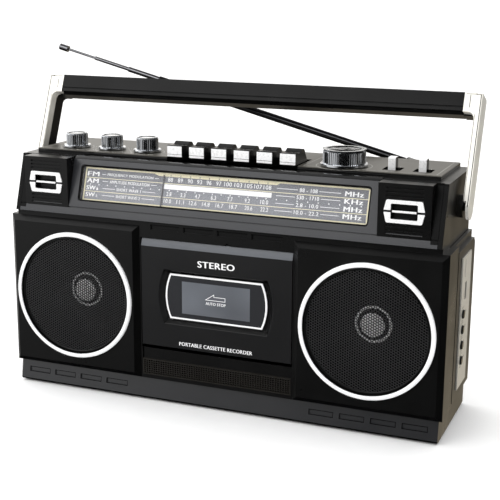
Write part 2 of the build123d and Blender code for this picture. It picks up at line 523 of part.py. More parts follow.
# ---- Volume, balance and tone knobs: flange, ribbed body and spindle ----
for n, x in enumerate(KNOB_XS):
    with BuildPart() as knob:
        rod_z(x, KNOB_Y, (PLATE_TOP + 0.4, PLATE_TOP + 2.6), 11.2)
        with BuildSketch(Plane.XY.offset(PLATE_TOP + 2.6)):
            with Locations((x, KNOB_Y)):
                Circle(8.8)
        extrude(amount=9.2)
        chamfer(knob.edges().filter_by(GeomType.CIRCLE).sort_by(Axis.Z)[-1], 0.8)
        rod_z(x, KNOB_Y, (178.0, PLATE_TOP + 1), SHAFT_R)
    save(knob.part, f"knob_{n + 1}")

# ---- Tuning knob with its spindle and cord drum ----
with BuildPart() as tuning_knob:
    rod_z(TUNE_X, KNOB_Y, (PLATE_TOP + 0.4, PLATE_TOP + 2.6), 18.6)
    rod_z(TUNE_X, KNOB_Y, (PLATE_TOP + 2.6, PLATE_TOP + 13.4), 17.3)
    chamfer(tuning_knob.edges().filter_by(GeomType.CIRCLE).sort_by(Axis.Z)[-1], 1.4)
    rod_z(TUNE_X, KNOB_Y, (171.0, PLATE_TOP + 1), SHAFT_R)
    rod_z(TUNE_X, KNOB_Y, (173.0, 181.0), SPINDLE_R)
save(tuning_knob.part, "tuning_knob")

# ---- Control boards: potentiometers, tuning bush and slide switch bodies ----
with BuildPart() as control_board:
    block((-153.0, -62.0), (-19.0, 8.0), (168.0, 169.6))
    for x in KNOB_XS:
        rod_z(x, KNOB_Y, (169.6, 188.0), 8.2)
        rod_z(x, KNOB_Y, (188.0, PLATE_TOP - 0.2), 4.4)
        rod_z(x, KNOB_Y, (177.0, PLATE_TOP), SHAFT_R + 0.05, Mode.SUBTRACT)
    block((76.0, 162.0), (-19.0, 8.0), (168.0, 169.6))
    rod_z(TUNE_X, KNOB_Y, (182.0, PLATE_TOP - 0.2), 4.4)
    rod_z(TUNE_X, KNOB_Y, (182.0, TOP_Z - WALL), 8.2)
    rod_z(TUNE_X, KNOB_Y, (181.0, PLATE_TOP), SHAFT_R + 0.05, Mode.SUBTRACT)
    block((TUNE_X - 12, TUNE_X - 8), (-12.0, -2.0), (169.6, TOP_Z - WALL))
    block((TUNE_X - 9, TUNE_X - 4), (-12.0, -2.0), (182.0, TOP_Z - WALL))
    for x in SWITCH_XS:
        block((x - 8, x + 8), (SWITCH_Y - 6, SWITCH_Y + 6), (169.6, 185.5))
    rod_z(TUNE_X, KNOB_Y, (181.0, PLATE_TOP), SHAFT_R + 0.05, Mode.SUBTRACT)
save(control_board.part, "control_board")

# ---- Two slide switch levers ----
for n, x in enumerate(SWITCH_XS):
    with BuildPart() as lever:
        block((x - 2.85, x + 2.85), (SWITCH_Y - 4.5, SWITCH_Y + 3.5), (186.0, 204.6))
        chamfer(lever.edges().filter_by(Axis.X).group_by(Axis.Z)[-1], 0.8)
    save(lever.part, f"switch_lever_{n + 1}")

# ---- Handle: two chrome arms and the black grip with the arm cores ----
for name, side in (("left", -1), ("right", 1)):
    with BuildPart() as arm:
        with BuildSketch(ARM_PLANE.offset(side * (ARM_X0 + 2.2))):
            with Locations((0, ARM_LEN / 2)):
                RectangleRounded(2 * ARM_HALF_D, ARM_LEN, 2.0)
            with Locations((0, ARM_LEN / 4)):
                Rectangle(2 * ARM_HALF_D, ARM_LEN / 2)
            Circle(ARM_HALF_D)
        extrude(amount=side * (ARM_X1 - ARM_X0 - 2.2))
        with BuildSketch(ARM_PLANE.offset(side * ARM_X0)):
            with Locations(((-ARM_HALF_D - 2.0) / 2, ARM_LEN / 2)):
                Rectangle(ARM_HALF_D - 2.0, ARM_LEN - 4.0)
            with Locations(((-ARM_HALF_D + 2.0 - 2.0) / 2, ARM_LEN - 3.0)):
                Rectangle(ARM_HALF_D - 4.0, 6.0)
        extrude(amount=side * 2.2)
        with BuildSketch(ARM_PLANE.offset(side * GRIP_HALF_L)):
            with Locations(((-ARM_HALF_D - 2.0) / 2, (GRIP_LOW + ARM_LEN) / 2)):
                Rectangle(ARM_HALF_D - 2.0, ARM_LEN - GRIP_LOW)
        extrude(amount=side * (ARM_X0 - GRIP_HALF_L + 0.1))
        inner_corner = ARM_PLANE.from_local_coords(Vector((-ARM_HALF_D - 2.0) / 2, GRIP_LOW, side * ARM_X0))
        fillet(arm.edges().sort_by_distance(inner_corner)[0], 5.0)
        bore_x = sorted((side * (ARM_X0 - 1), side * (ARM_X1 - 1.2)))
        rod_x(PIVOT_Y, PIVOT_Z, bore_x, 3.55, Mode.SUBTRACT)
    save(arm.part, f"handle_arm_{name}")

with BuildPart() as handle_grip:
    with BuildSketch(ARM_PLANE.offset(-GRIP_HALF_L)):
        with BuildLine():
            Polyline([(-ARM_HALF_D, GRIP_LIP), (-ARM_HALF_D, GRIP_LIP + 2.5), (-ARM_HALF_D + 0.5, GRIP_LIP + 2.8),
                      (-ARM_HALF_D + 0.5, GRIP_LIP + 3.2), (-ARM_HALF_D, GRIP_LIP + 3.5), (-ARM_HALF_D, ARM_LEN),
                      (ARM_HALF_D - 1.5, ARM_LEN), (ARM_HALF_D, ARM_LEN - 1.5), (ARM_HALF_D, GRIP_LOW + 1.7),
                      (6.5, GRIP_UNDER), (-4.5, GRIP_UNDER), (-6.5, GRIP_LIP), (-6.5, GRIP_LIP + 1.2),
                      (-8.2, GRIP_LIP + 1.2), (-8.2, GRIP_LIP)], close=True)
        make_face()
    extrude(amount=2 * GRIP_HALF_L)
    for side in (-1, 1):
        with BuildSketch(ARM_PLANE.offset(side * GRIP_HALF_L)):
            with Locations((ARM_HALF_D / 2 - 1.0, (GRIP_UNDER + ARM_LEN) / 2)):
                Rectangle(ARM_HALF_D + 2.0 - 0.2, ARM_LEN - GRIP_UNDER - 0.4)
        extrude(amount=side * (ARM_X0 + 2.1 - GRIP_HALF_L))
        with BuildSketch(ARM_PLANE.offset(side * ARM_X0)):
            with Locations((ARM_HALF_D / 2 - 1.0, ARM_LEN / 2 - 1.0)):
                Rectangle(ARM_HALF_D + 2.0 - 0.2, ARM_LEN - 2.0)
        extrude(amount=side * 2.1)
        inner_corner = ARM_PLANE.from_local_coords(Vector(ARM_HALF_D / 2 - 1.0, GRIP_UNDER + 0.2, side * ARM_X0))
        fillet(handle_grip.edges().sort_by_distance(inner_corner)[0], 4.0)
        bore_x = sorted((side * (ARM_X0 - 1), side * (ARM_X1 - 1.2)))
        rod_x(PIVOT_Y, PIVOT_Z, bore_x, 3.55, Mode.SUBTRACT)
save(handle_grip.part, "handle_grip")

# ---- Telescopic aerial on the back: bracket, knuckle and four sections ----
LEAN = radians(AERIAL_DEG)
AERIAL = Plane(origin=(AERIAL_X, AERIAL_Y, AERIAL_Z), x_dir=(-cos(LEAN), 0, sin(LEAN)),
               z_dir=(sin(LEAN), 0, cos(LEAN)))
TILT_AT = 10.0
END_1 = AERIAL_BASE_L
END_2 = END_1 + AERIAL_STEP - 3.5
END_3 = END_2 + AERIAL_STEP
END_4 = END_3 + AERIAL_STEP - 6.0
TUBE_L = 221.0

with BuildPart() as aerial_bracket:
    block((AERIAL_X - 9, AERIAL_X + 9), (BACK_Y, 50.0), (AERIAL_Z - 9, AERIAL_Z + 1.5))
    rod_y(AERIAL_X, AERIAL_Z, (BACK_Y + 1, 60.0), 2.5)
save(aerial_bracket.part, "aerial_bracket")

with BuildPart(AERIAL) as aerial_knuckle:
    rod_y(0, 0, (-5.0, 5.5), 5.5)
    for z in (-3.6, 2.2):
        block((3.0, TILT_AT + 3.2), (-3.2, 3.2), (z, z + 1.4))
    rod_z(TILT_AT, 0, (-3.6, 3.6), 1.2)
    rod_y(0, 0, (-6.0, 6.0), 2.55, Mode.SUBTRACT)
save(aerial_knuckle.part, "aerial_knuckle")

with BuildPart(AERIAL) as aerial_base:
    rod_z(TILT_AT, 0, (-2.0, 2.0), 2.9)
    block((TILT_AT, TILT_AT + 6.0), (-2.0, 2.0), (-1.9, 1.9))
    rod_x(0, 0, (TILT_AT + 4.5, END_1), 2.9)
    rod_x(0, 0, (TILT_AT + 5.6, END_1 + 1), 2.25, Mode.SUBTRACT)
    rod_z(TILT_AT, 0, (-3.0, 3.0), 1.25, Mode.SUBTRACT)
save(aerial_base.part, "aerial_base")

with BuildPart(AERIAL) as aerial_mid:
    rod_x(0, 0, (END_2 - TUBE_L, END_2), 2.2)
    rod_x(0, 0, (END_2 - TUBE_L - 1, END_2 + 1), 1.65, Mode.SUBTRACT)
save(aerial_mid.part, "aerial_mid")

with BuildPart(AERIAL) as aerial_upper:
    rod_x(0, 0, (END_3 - TUBE_L, END_3), 1.6)
    rod_x(0, 0, (END_3 - TUBE_L - 1, END_3 + 1), 1.05, Mode.SUBTRACT)
save(aerial_upper.part, "aerial_upper")

with BuildPart(AERIAL) as aerial_tip:
    rod_x(0, 0, (END_4 - TUBE_L, END_4 + 1), 1.0)
    rod_x(0, 0, (END_4, END_4 + 8.0), 2.7)
save(aerial_tip.part, "aerial_tip")

# ---- Side panel with card slot, socket and four push buttons ----
with BuildPart() as side_panel:
    block((SIDE_X, SIDE_X + 1.0), (SIDE_Y0, SIDE_Y1), (28.5, 131.5))
    block((SIDE_X - 1, SIDE_X + 2), (8.0, 10.4), (114.6, 129.0), Mode.SUBTRACT)
    block((SIDE_X - 1, SIDE_X + 2), (10.8, 17.2), (96.6, 110.4), Mode.SUBTRACT)
    for n in range(4):
        rod_x(BUTTON_Y, button_z(n), (SIDE_X - 1, SIDE_X + 2), BUTTON_R + 0.3, Mode.SUBTRACT)
save(side_panel.part, "side_panel")

for n in range(4):
    with BuildPart() as button:
        rod_x(BUTTON_Y, button_z(n), (171.4, SIDE_X + 2.4), BUTTON_R)
        face_edge = button.edges().filter_by(GeomType.CIRCLE).sort_by(Axis.X)[-1]
        fillet(face_edge, 0.8)
    save(button.part, f"side_button_{n + 1}")

with BuildPart() as side_board:
    block((167.0, 168.6), (-1.0, 30.0), (34.0, 128.0))
    for n in range(4):
        rod_x(BUTTON_Y, button_z(n), (168.0, 169.8), 2.4)
    block((168.6, SIDE_X - 0.2), (11.0, 17.0), (96.8, 110.2))
    block((170.0, SIDE_X), (11.6, 16.4), (97.4, 109.6), Mode.SUBTRACT)
    block((170.0, SIDE_X - 0.4), (12.2, 14.0), (98.4, 108.6))
    block((168.6, 178.5), (7.6, 10.8), (114.2, 128.8))
    block((170.0, 179.0), (8.2, 10.2), (115.0, 128.2), Mode.SUBTRACT)
save(side_board.part, "side_board")

# ---- Mains inlet in the back wall ----
with BuildPart() as mains_inlet:
    block((-139.8, -116.2), (24.0, BACK_Y - 0.6), (30.2, 45.8))
    block((-136.0, -120.0), (33.0, BACK_Y + 1), (34.0, 42.0), Mode.SUBTRACT)
    for x in (-131.5, -124.5):
        rod_y(x, 38.0, (32.0, BACK_Y - 3), 1.2)
save(mains_inlet.part, "mains_inlet")

# ---- Battery compartment door in the back ----
DOOR_BACK_Z0 = BAY_Z[0] - 3.5
with BuildPart() as battery_door:
    block((BAY_X[0] - 3.5, BAY_X[1] + 3.5), (BACK_Y - 1.9, BACK_Y), (DOOR_BACK_Z0, BAY_Z[1] + 3.5))
    rod_x(BAY_PIN_Y, BAY_PIN_Z, (BAY_X[0] - 5.0, BAY_X[1] + 5.0), 0.6)
    for n in range(5):
        z = BAY_Z[1] - 4.0 - n * 2.4
        block((-14.0, 14.0), (BACK_Y - 0.6, BACK_Y + 1), (z - 0.6, z + 0.6), Mode.SUBTRACT)
save(battery_door.part, "battery_door")

# ---- Mains transformer and main circuit board inside the rear cabinet ----
with BuildPart() as transformer:
    block((-148.0, -108.0), (12.0, BACK_Y - WALL), (64.0, 98.0))
    block((-142.0, -114.0), (8.0, 12.0), (70.0, 92.0))
save(transformer.part, "transformer")

with BuildPart() as main_board:
    block((-62.0, 62.0), (22.0, 23.6), (66.0, 166.0))
    for x in (-57.0, 57.0):
        for z in (71.0, 161.0):
            rod_y(x, z, (23.6, BACK_Y - WALL), 3.0)
    block((-30.0, -12.0), (19.0, 22.0), (90.0, 98.0))
    block((10.0, 34.0), (18.5, 22.0), (120.0, 128.0))
    for x, z in ((-40.0, 120.0), (-26.0, 120.0), (20.0, 90.0), (36.0, 90.0)):
        rod_y(x, z, (10.0, 22.0), 5.0)
save(main_board.part, "main_board")
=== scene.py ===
"""Looks of a portable stereo radio cassette recorder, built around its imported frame.

The sections follow the recorder as it is put together. Meshes are built in millimetres, then made metres.
"""
import json
from math import atan, cos, pi, radians, sin

import bmesh
import bpy
from mathutils import Matrix, Vector

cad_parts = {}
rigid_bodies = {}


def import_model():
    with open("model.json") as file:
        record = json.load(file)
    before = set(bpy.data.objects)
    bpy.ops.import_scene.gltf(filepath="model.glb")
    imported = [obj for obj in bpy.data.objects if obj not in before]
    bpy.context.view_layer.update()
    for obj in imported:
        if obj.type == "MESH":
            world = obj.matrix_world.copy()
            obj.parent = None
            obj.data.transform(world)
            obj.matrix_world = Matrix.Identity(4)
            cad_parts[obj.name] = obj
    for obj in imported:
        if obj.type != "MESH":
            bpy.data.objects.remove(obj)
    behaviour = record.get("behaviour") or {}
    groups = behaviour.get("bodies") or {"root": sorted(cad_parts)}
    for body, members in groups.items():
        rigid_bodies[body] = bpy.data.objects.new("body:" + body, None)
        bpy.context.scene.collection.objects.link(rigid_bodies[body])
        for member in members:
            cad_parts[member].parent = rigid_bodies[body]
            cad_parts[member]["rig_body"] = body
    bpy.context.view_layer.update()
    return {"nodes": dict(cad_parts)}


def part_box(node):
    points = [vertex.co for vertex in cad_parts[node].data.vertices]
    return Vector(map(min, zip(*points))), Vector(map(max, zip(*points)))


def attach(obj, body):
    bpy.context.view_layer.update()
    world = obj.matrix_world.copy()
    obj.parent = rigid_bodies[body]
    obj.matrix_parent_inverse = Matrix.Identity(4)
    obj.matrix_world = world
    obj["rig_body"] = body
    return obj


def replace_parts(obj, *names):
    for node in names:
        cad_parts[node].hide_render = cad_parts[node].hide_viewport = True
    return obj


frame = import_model()

# ---- Camera ----
# A short telephoto lens on a tripod, to the right of the recorder and a little above it,
# with the film plane tipped by less than half a degree.
lens = bpy.data.cameras.new("camera")
lens.sensor_width = 36.0
lens.lens = 80.17
lens.clip_end = 100.0
camera = bpy.data.objects.new("camera", lens)
bpy.context.scene.collection.objects.link(camera)
camera.matrix_world = (Matrix.Translation((0.33074, -0.79691, 0.33186)) @ Matrix.Rotation(radians(21.84), 4, "Z")
                       @ Matrix.Rotation(radians(90.0 - 13.78), 4, "X") @ Matrix.Rotation(radians(0.39), 4, "Z"))
bpy.context.scene.camera = camera


# ---- Studio: paper table and soft boxes ----
# Matt white paper covers a long table. A white ceiling lights it from above and soft boxes stand in
# front and at the sides. Gloss mirrors a dim room with a flagged ceiling, a pale wall on the left and a
# warm one behind, while the camera itself looks past the paper at a white backdrop.
def linear(code):
    """The linear RGBA of an sRGB hex colour."""
    parts = [int(code[n:n + 2], 16) / 255 for n in (1, 3, 5)]
    return tuple(p / 12.92 if p <= 0.04045 else ((p + 0.055) / 1.055) ** 2.4 for p in parts) + (1.0,)


def add(tree, kind, settings=None, links=None):
    """Adds a node, with its settings by socket or property, and its links by socket."""
    made = tree.nodes.new("ShaderNode" + kind)
    for key, value in (settings or {}).items():
        if isinstance(key, int) or key in made.inputs:
            made.inputs[key].default_value = value
        else:
            setattr(made, key, value)
    for key, source in (links or {}).items():
        tree.links.new(source, made.inputs[key])
    return made


def mixed(tree, dark, light, share):
    """A colour between two sRGB hex colours, by a share from 0 to 1."""
    ends = {"data_type": "RGBA", 6: linear(dark), 7: linear(light)}
    return add(tree, "Mix", ends, {0: share}).outputs[2]


def new_material(name):
    """A material with only its output, and that output."""
    made = bpy.data.materials.new(name)
    made.use_nodes = True
    made.node_tree.nodes.clear()
    return made, made.node_tree, made.node_tree.nodes.new("ShaderNodeOutputMaterial")


def matt_paper():
    """Uncoated white paper: matt, with a faint long-fibre mottle."""
    made, tree, out = new_material("background paper, uncoated")
    where = add(tree, "TexCoord").outputs["Object"]
    fibre = add(tree, "TexNoise", {"Scale": 40.0, "Detail": 4.0}, {"Vector": where}).outputs[0]
    tone = mixed(tree, "#f4f4f4", "#fafafa", fibre)
    skin = add(tree, "BsdfPrincipled", {"Roughness": 0.9, "Specular IOR Level": 0.1}, {"Base Color": tone})
    tree.links.new(skin.outputs[0], out.inputs[0])
    return made


table = bmesh.new()
bmesh.ops.create_grid(table, x_segments=8, y_segments=8, size=45.0)
floor_mesh = bpy.data.meshes.new("floor")
table.to_mesh(floor_mesh)
floor_mesh.materials.append(matt_paper())
floor = bpy.data.objects.new("floor", floor_mesh)
floor.visible_glossy = False
bpy.context.scene.collection.objects.link(floor)

for name, place, width, height, power in (
        ("soft box front", (-0.72, -1.6, 1.25), 1.7, 1.0, 13.0),
        ("soft box right", (1.75, -0.35, 0.8), 0.5, 1.2, 1.5),
        ("soft box left", (-1.7, 0.1, 0.8), 0.5, 1.2, 4.0)):
    lamp = bpy.data.lights.new(name, "AREA")
    lamp.shape = "RECTANGLE"
    lamp.size = width
    lamp.size_y = height
    lamp.energy = power
    light = bpy.data.objects.new(name, lamp)
    aim = (Vector((0.0, 0.0, 0.12)) - Vector(place)).to_track_quat("-Z", "Y")
    light.matrix_world = Matrix.Translation(place) @ aim.to_matrix().to_4x4()
    bpy.context.scene.collection.objects.link(light)

room = bpy.data.worlds.new("studio room")
room.use_nodes = True
sky = add(room.node_tree, "SeparateXYZ", links={"Vector": add(room.node_tree, "TexCoord").outputs["Generated"]})


def wall(axis, start, full, low, high):
    """A soft edge in the room's brightness along one axis of the direction."""
    return add(room.node_tree, "MapRange", {"From Min": start, "From Max": full, "To Min": low, "To Max": high},
               {"Value": sky.outputs[axis]}).outputs[0]


def reckon(sum_name, first, second):
    """One step of arithmetic on the room's brightness."""
    return add(room.node_tree, "Math", {"operation": sum_name, "use_clamp": sum_name == "SUBTRACT"},
               {0: first, 1: second}).outputs[0]


left_wall = reckon("MULTIPLY", wall("X", -0.18, -0.6, 0.0, 0.85), wall("Z", -0.36, -0.16, 0.0, 1.0))
back_light = reckon("ADD", wall("Z", -0.1, 0.15, 0.0, 1.2), wall("Z", -0.1, -0.34, 0.2, 1.0))
back_wall = reckon("MULTIPLY", wall("Y", 0.5, 0.85, 0.0, 0.6), back_light)
rays = add(room.node_tree, "LightPath").outputs
flagged = add(room.node_tree, "MapRange", {"To Min": 1.0, "To Max": 0.05},
              {"Value": rays["Is Glossy Ray"]}).outputs[0]
ceiling = reckon("MULTIPLY", wall("Z", 0.55, 0.8, 0.05, 1.9), flagged)
mirrored = reckon("ADD", ceiling, reckon("ADD", left_wall, back_wall))
bright = add(room.node_tree, "Mix", {"data_type": "FLOAT", 3: 1.1},
             {0: rays["Is Camera Ray"], 2: mirrored}).outputs[0]
low_wall = reckon("MULTIPLY", wall("Z", 0.1, -0.2, 0.2, 1.0), wall("Y", 0.5, 0.85, 0.0, 1.0))
warm = reckon("SUBTRACT", low_wall, rays["Is Camera Ray"])
tint = mixed(room.node_tree, "#ffffff", "#efe0c4", warm)
room.node_tree.links.new(tint, room.node_tree.nodes["Background"].inputs[0])
room.node_tree.links.new(bright, room.node_tree.nodes["Background"].inputs[1])
bpy.context.scene.world = room
bpy.context.scene.view_settings.view_transform = "Standard"


# ---- Front cabinet ----
# One injection moulding in black high-impact polystyrene: plinth, both loudspeaker boxes, the door
# opening and the surround of the dial. The leaning face of the plinth is a satin dark grey, partly its own
# sprayed tone and partly a painted sheen where its tilt catches the light.
def moulded(name, dark, light, rough, grain_mm, depth_mm, gloss=0.5):
    """Moulded plastic: a fine mould texture, faint flow clouds in the colour, and a roughness that wanders."""
    made, tree, out = new_material(name)
    where = add(tree, "TexCoord").outputs["Object"]
    cloud = add(tree, "TexNoise", {"Scale": 28.0, "Detail": 3.0}, {"Vector": where}).outputs[0]
    grain = add(tree, "TexNoise", {"Scale": 1000.0 / grain_mm, "Detail": 2.0}, {"Vector": where}).outputs[0]
    tone = mixed(tree, dark, light, cloud)
    spread = {"From Min": 0.3, "From Max": 0.7, "To Min": rough - 0.04, "To Max": rough + 0.05}
    worn = add(tree, "MapRange", spread, {"Value": cloud}).outputs[0]
    bump = add(tree, "Bump", {"Strength": 0.5, "Distance": depth_mm / 1000.0}, {"Height": grain}).outputs[0]
    skin = add(tree, "BsdfPrincipled", {"IOR": 1.53, "Specular IOR Level": gloss},
               {"Base Color": tone, "Roughness": worn, "Normal": bump})
    tree.links.new(skin.outputs[0], out.inputs[0])
    return made


def span(node):
    """The lowest and highest corner of a frame node, in millimetres."""
    low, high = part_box(node)
    return low * 1000.0, high * 1000.0


def place_piece(name, mesh, finishes, body, stands_for=()):
    """Links a finished mesh as a piece that rides on a body."""
    for finish in finishes:
        mesh.materials.append(finish)
    piece = bpy.data.objects.new(name, mesh)
    bpy.context.scene.collection.objects.link(piece)
    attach(piece, body)
    if stands_for:
        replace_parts(piece, *stands_for)
    return piece


def soften(piece, radius_mm, steps=2, edge=-1):
    """The small moulded or ground radius on a piece's sharp edges, in the finish with the number edge."""
    rounding = piece.modifiers.new("edge radius", "BEVEL")
    rounding.width = radius_mm / 1000.0
    rounding.segments = steps
    rounding.material = edge
    rounding.limit_method = "ANGLE"
    rounding.angle_limit = radians(35)
    piece.data.shade_smooth()
    flat = piece.modifiers.new("flat faces stay flat", "WEIGHTED_NORMAL")
    flat.weight = 100
    flat.keep_sharp = True
    return piece


def from_frame(node, finishes, radius_mm, pick=None, cuts=(), edge=-1):
    """The frame node's own shape with merged faces and rounded edges. pick gives a face's finish by its number,
    and cuts are planes, as a point in millimetres and a normal, that divide faces first."""
    source = frame["nodes"][node]
    shape = bmesh.new()
    shape.from_mesh(source.data)
    bmesh.ops.remove_doubles(shape, verts=shape.verts, dist=1e-6)
    bmesh.ops.dissolve_limit(shape, angle_limit=radians(0.5), verts=shape.verts, edges=shape.edges)
    for point, normal in cuts:
        bmesh.ops.bisect_plane(shape, geom=shape.verts[:] + shape.edges[:] + shape.faces[:],
                               plane_co=Vector(point) / 1000.0, plane_no=normal)
    for face in shape.faces:
        face.material_index = int(pick(face.calc_center_median() * 1000.0, face.normal)) if pick else 0
    mesh = bpy.data.meshes.new(node)
    shape.to_mesh(mesh)
    shape.free()
    body = source["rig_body"]
    return soften(place_piece(node + "_body", mesh, finishes, body, (node,)), radius_mm, edge=edge)


black_case = moulded("polystyrene, black, fine spark texture", "#070707", "#0b0b0b", 0.30, 0.5, 0.005, 0.4)
grey_satin = moulded("polystyrene, sprayed satin grey", "#292a2d", "#2f3034", 0.36, 0.6, 0.005, 0.55)
# The plinth face's dark grey is partly its own sprayed tone and partly a painted sheen where its tilt catches the
# light.
plinth_grey_and_sheen = moulded("polystyrene, satin dark grey with painted sheen", "#15161a", "#1b1c20", 0.34, 0.6, 0.005, 1.0)
PLINTH_TOP = 18.8
matt_black = moulded("polystyrene, black, matt", "#060606", "#090909", 0.4, 0.5, 0.005, 0.12)
RAKE_LOW = 148.0


def cabinet_finish(at, normal):
    """Dark satin grey on the plinth's face, partly a painted sheen where its tilt catches the light; matt black on
    the raked end strips and spark texture elsewhere.
    """
    if at.z > RAKE_LOW and normal.y < -0.5:
        return 2
    return at.z < PLINTH_TOP and normal.y < -0.9 and at.y < -41.0


from_frame("front_cabinet", [black_case, plinth_grey_and_sheen, matt_black], 0.45, cabinet_finish)

# ---- Rear cabinet and its screws ----
# The back half is moulded in the same plastic from a tool with a coarser texture. Six self-tapping
# steel screws with cross recesses hold it to the front half, deep in round pockets.
black_back = moulded("polystyrene, black, coarse spark texture", "#12110e", "#1a1814", 0.34, 0.9, 0.012, 0.5)
from_frame("rear_cabinet", [black_back], 0.5)


def metal(name, dark, light, rough, stretch, grain_mm, depth_mm, spread=0.05, bare=1.0):
    """Bare or plated metal: a grain stretched by the way it was worked, in tone, roughness and relief.
    bare is the share of the light that the metal itself throws back, under its lacquer or milky plating."""
    made, tree, out = new_material(name)
    where = add(tree, "TexCoord").outputs["Object"]
    drawn = add(tree, "Mapping", {"Scale": stretch}, {"Vector": where}).outputs[0]
    grain = add(tree, "TexNoise", {"Scale": 1000.0 / grain_mm, "Detail": 3.0}, {"Vector": drawn}).outputs[0]
    tone = mixed(tree, dark, light, grain)
    worn = add(tree, "MapRange", {"From Min": 0.3, "From Max": 0.7, "To Min": rough, "To Max": rough + spread},
               {"Value": grain}).outputs[0]
    bump = add(tree, "Bump", {"Strength": 0.4, "Distance": depth_mm / 1000.0}, {"Height": grain}).outputs[0]
    skin = add(tree, "BsdfPrincipled", {"Metallic": bare},
               {"Base Color": tone, "Roughness": worn, "Normal": bump})
    tree.links.new(skin.outputs[0], out.inputs[0])
    return made


def make_piece(name, shape, finishes, body, stands_for=()):
    """A bmesh in millimetres, made a finished piece in metres. It frees the bmesh."""
    bmesh.ops.scale(shape, vec=(0.001, 0.001, 0.001), verts=shape.verts)
    mesh = bpy.data.meshes.new(name)
    shape.to_mesh(mesh)
    shape.free()
    return place_piece(name, mesh, finishes, body, stands_for)


def verts_in(result):
    """The vertices among the geometry that an operator returns."""
    return [v for v in result["geom"] if isinstance(v, bmesh.types.BMVert)]


def turned_profile(shape, profile, centre, axis, steps):
    """Turns a profile of (radius, along) points full circle about an axis through centre."""
    side = Vector((1, 0, 0)) if abs(axis[0]) < 0.5 else Vector((0, 0, 1))
    points = [shape.verts.new(Vector(centre) + side * r + Vector(axis) * along) for r, along in profile]
    line = [shape.edges.new(pair) for pair in zip(points, points[1:])]
    bmesh.ops.spin(shape, geom=points + line, cent=centre, axis=axis, angle=2 * pi, steps=steps, use_merge=True)
    bmesh.ops.remove_doubles(shape, verts=shape.verts, dist=1e-4)
    bmesh.ops.recalc_face_normals(shape, faces=shape.faces)


zinc = metal("steel screw, zinc plated", "#8d9094", "#b4b6b8", 0.28, (1, 1, 1), 1.5, 0.01)
screws = bmesh.new()
BACK = span("rear_cabinet")[1].y
for x in (-166.0, 0.0, 166.0):
    for z in (10.0, 182.0):
        head = bmesh.new()
        turned_profile(head, [(0.0, 2.0), (1.6, 1.8), (2.7, 1.2), (3.2, 0.0), (0.0, 0.0)], (x, BACK - 5.9, z),
                       (0, 1, 0), 20)
        for turn in (0, 1):
            bar = bmesh.ops.create_cube(head, size=1.0)
            long, short = (0.55, 3.0) if turn else (3.0, 0.55)
            bmesh.ops.scale(head, vec=(long, 0.4, short), verts=bar["verts"])
            bmesh.ops.translate(head, vec=(x, BACK - 3.9, z), verts=bar["verts"])
        joined = bpy.data.meshes.new("screw")
        head.to_mesh(joined)
        screws.from_mesh(joined)
        head.free()
make_piece("rear_screws", screws, [zinc], "cabinet")


# ---- Rubber feet ----
# Five soft discs punched from black rubber sheet and glued under the plinth. Rubber is matt, with
# a little pale dust in its pores.
def dress(node, finish):
    """A frame node keeps its own mesh and gets a finish."""
    mesh = frame["nodes"][node].data
    mesh.materials.clear()
    mesh.materials.append(finish)


dress("feet", moulded("rubber sheet, black", "#19191a", "#252524", 0.8, 0.7, 0.05, 0.3))

# ---- Dial bezel ----
# The raked surround of the tuning dial and the band below it are one moulding, sprayed the same
# satin grey as the door's grip strip, with a moulded groove between them. Its upper ends are painted
# matt black, a painted shade where the grey falls off to dark.
CELL_EDGE, PAINTED_SHADE_FOOT = 165.6, 150.5
# Painted shade: faces beyond CELL_EDGE and above the cut take matt black; the side faces are black too.
from_frame("dial_bezel", [grey_satin, matt_black], 0.35,
           lambda at, normal: abs(at.x) > CELL_EDGE and at.z > PAINTED_SHADE_FOOT or abs(normal.x) > 0.9,
           (((0, 0, PAINTED_SHADE_FOOT), (0, 0, 1)), ((CELL_EDGE, 0, 0), (1, 0, 0)), ((-CELL_EDGE, 0, 0), (1, 0, 0))))

# ---- End panels and their plated surrounds ----
# A black moulding with fine slots fills each end of the dial front. Around its middle sits a
# vacuum-plated frame in two halves, with a plated bar across the dark opening.
from_frame("cell_panels", [black_case], 0.25)
plated = metal("plastic, vacuum plated bright chrome", "#cfd2d6", "#e2e4e7", 0.12, (1, 1, 1), 3.0, 0.004, 0.05)
white_plated = metal("plastic, vacuum plated satin chrome", "#f2f2f2", "#fbfbfb", 0.25, (1, 1, 1), 2.0, 0.004,
                     0.06, bare=0.1)
ring_low, ring_high = span("cell_rings")
frames = bmesh.new()
RING_MIDDLE = (ring_low.z + ring_high.z) / 2
for side in (-1, 1):
    middle = side * (ring_high.x - 15.2)
    for up in (-1, 1):
        outline = ((-14.9, 0.8), (-13.2, 7.7), (-12.6, 8.3), (12.6, 8.3), (13.2, 7.7), (14.9, 0.8), (9.8, 0.8),
                   (9.8, 4.8), (9.2, 5.6), (-9.2, 5.6), (-9.8, 4.8), (-9.8, 0.8))
        corners = [frames.verts.new((middle + x, ring_high.y, RING_MIDDLE + up * z)) for x, z in outline]
        half = bmesh.ops.extrude_face_region(frames, geom=[frames.faces.new(corners)])
        bmesh.ops.translate(frames, vec=(0, -1.2, 0), verts=verts_in(half))
    bar = bmesh.ops.create_cube(frames, size=1.0)
    bmesh.ops.scale(frames, vec=(17.6, 1.0, 1.5), verts=bar["verts"])
    bmesh.ops.translate(frames, vec=(middle, ring_low.y + 0.9, RING_MIDDLE), verts=bar["verts"])
bmesh.ops.recalc_face_normals(frames, faces=frames.faces)
soften(make_piece("cell_frames", frames, [white_plated], "cabinet", ("cell_rings",)), 0.3, 3)

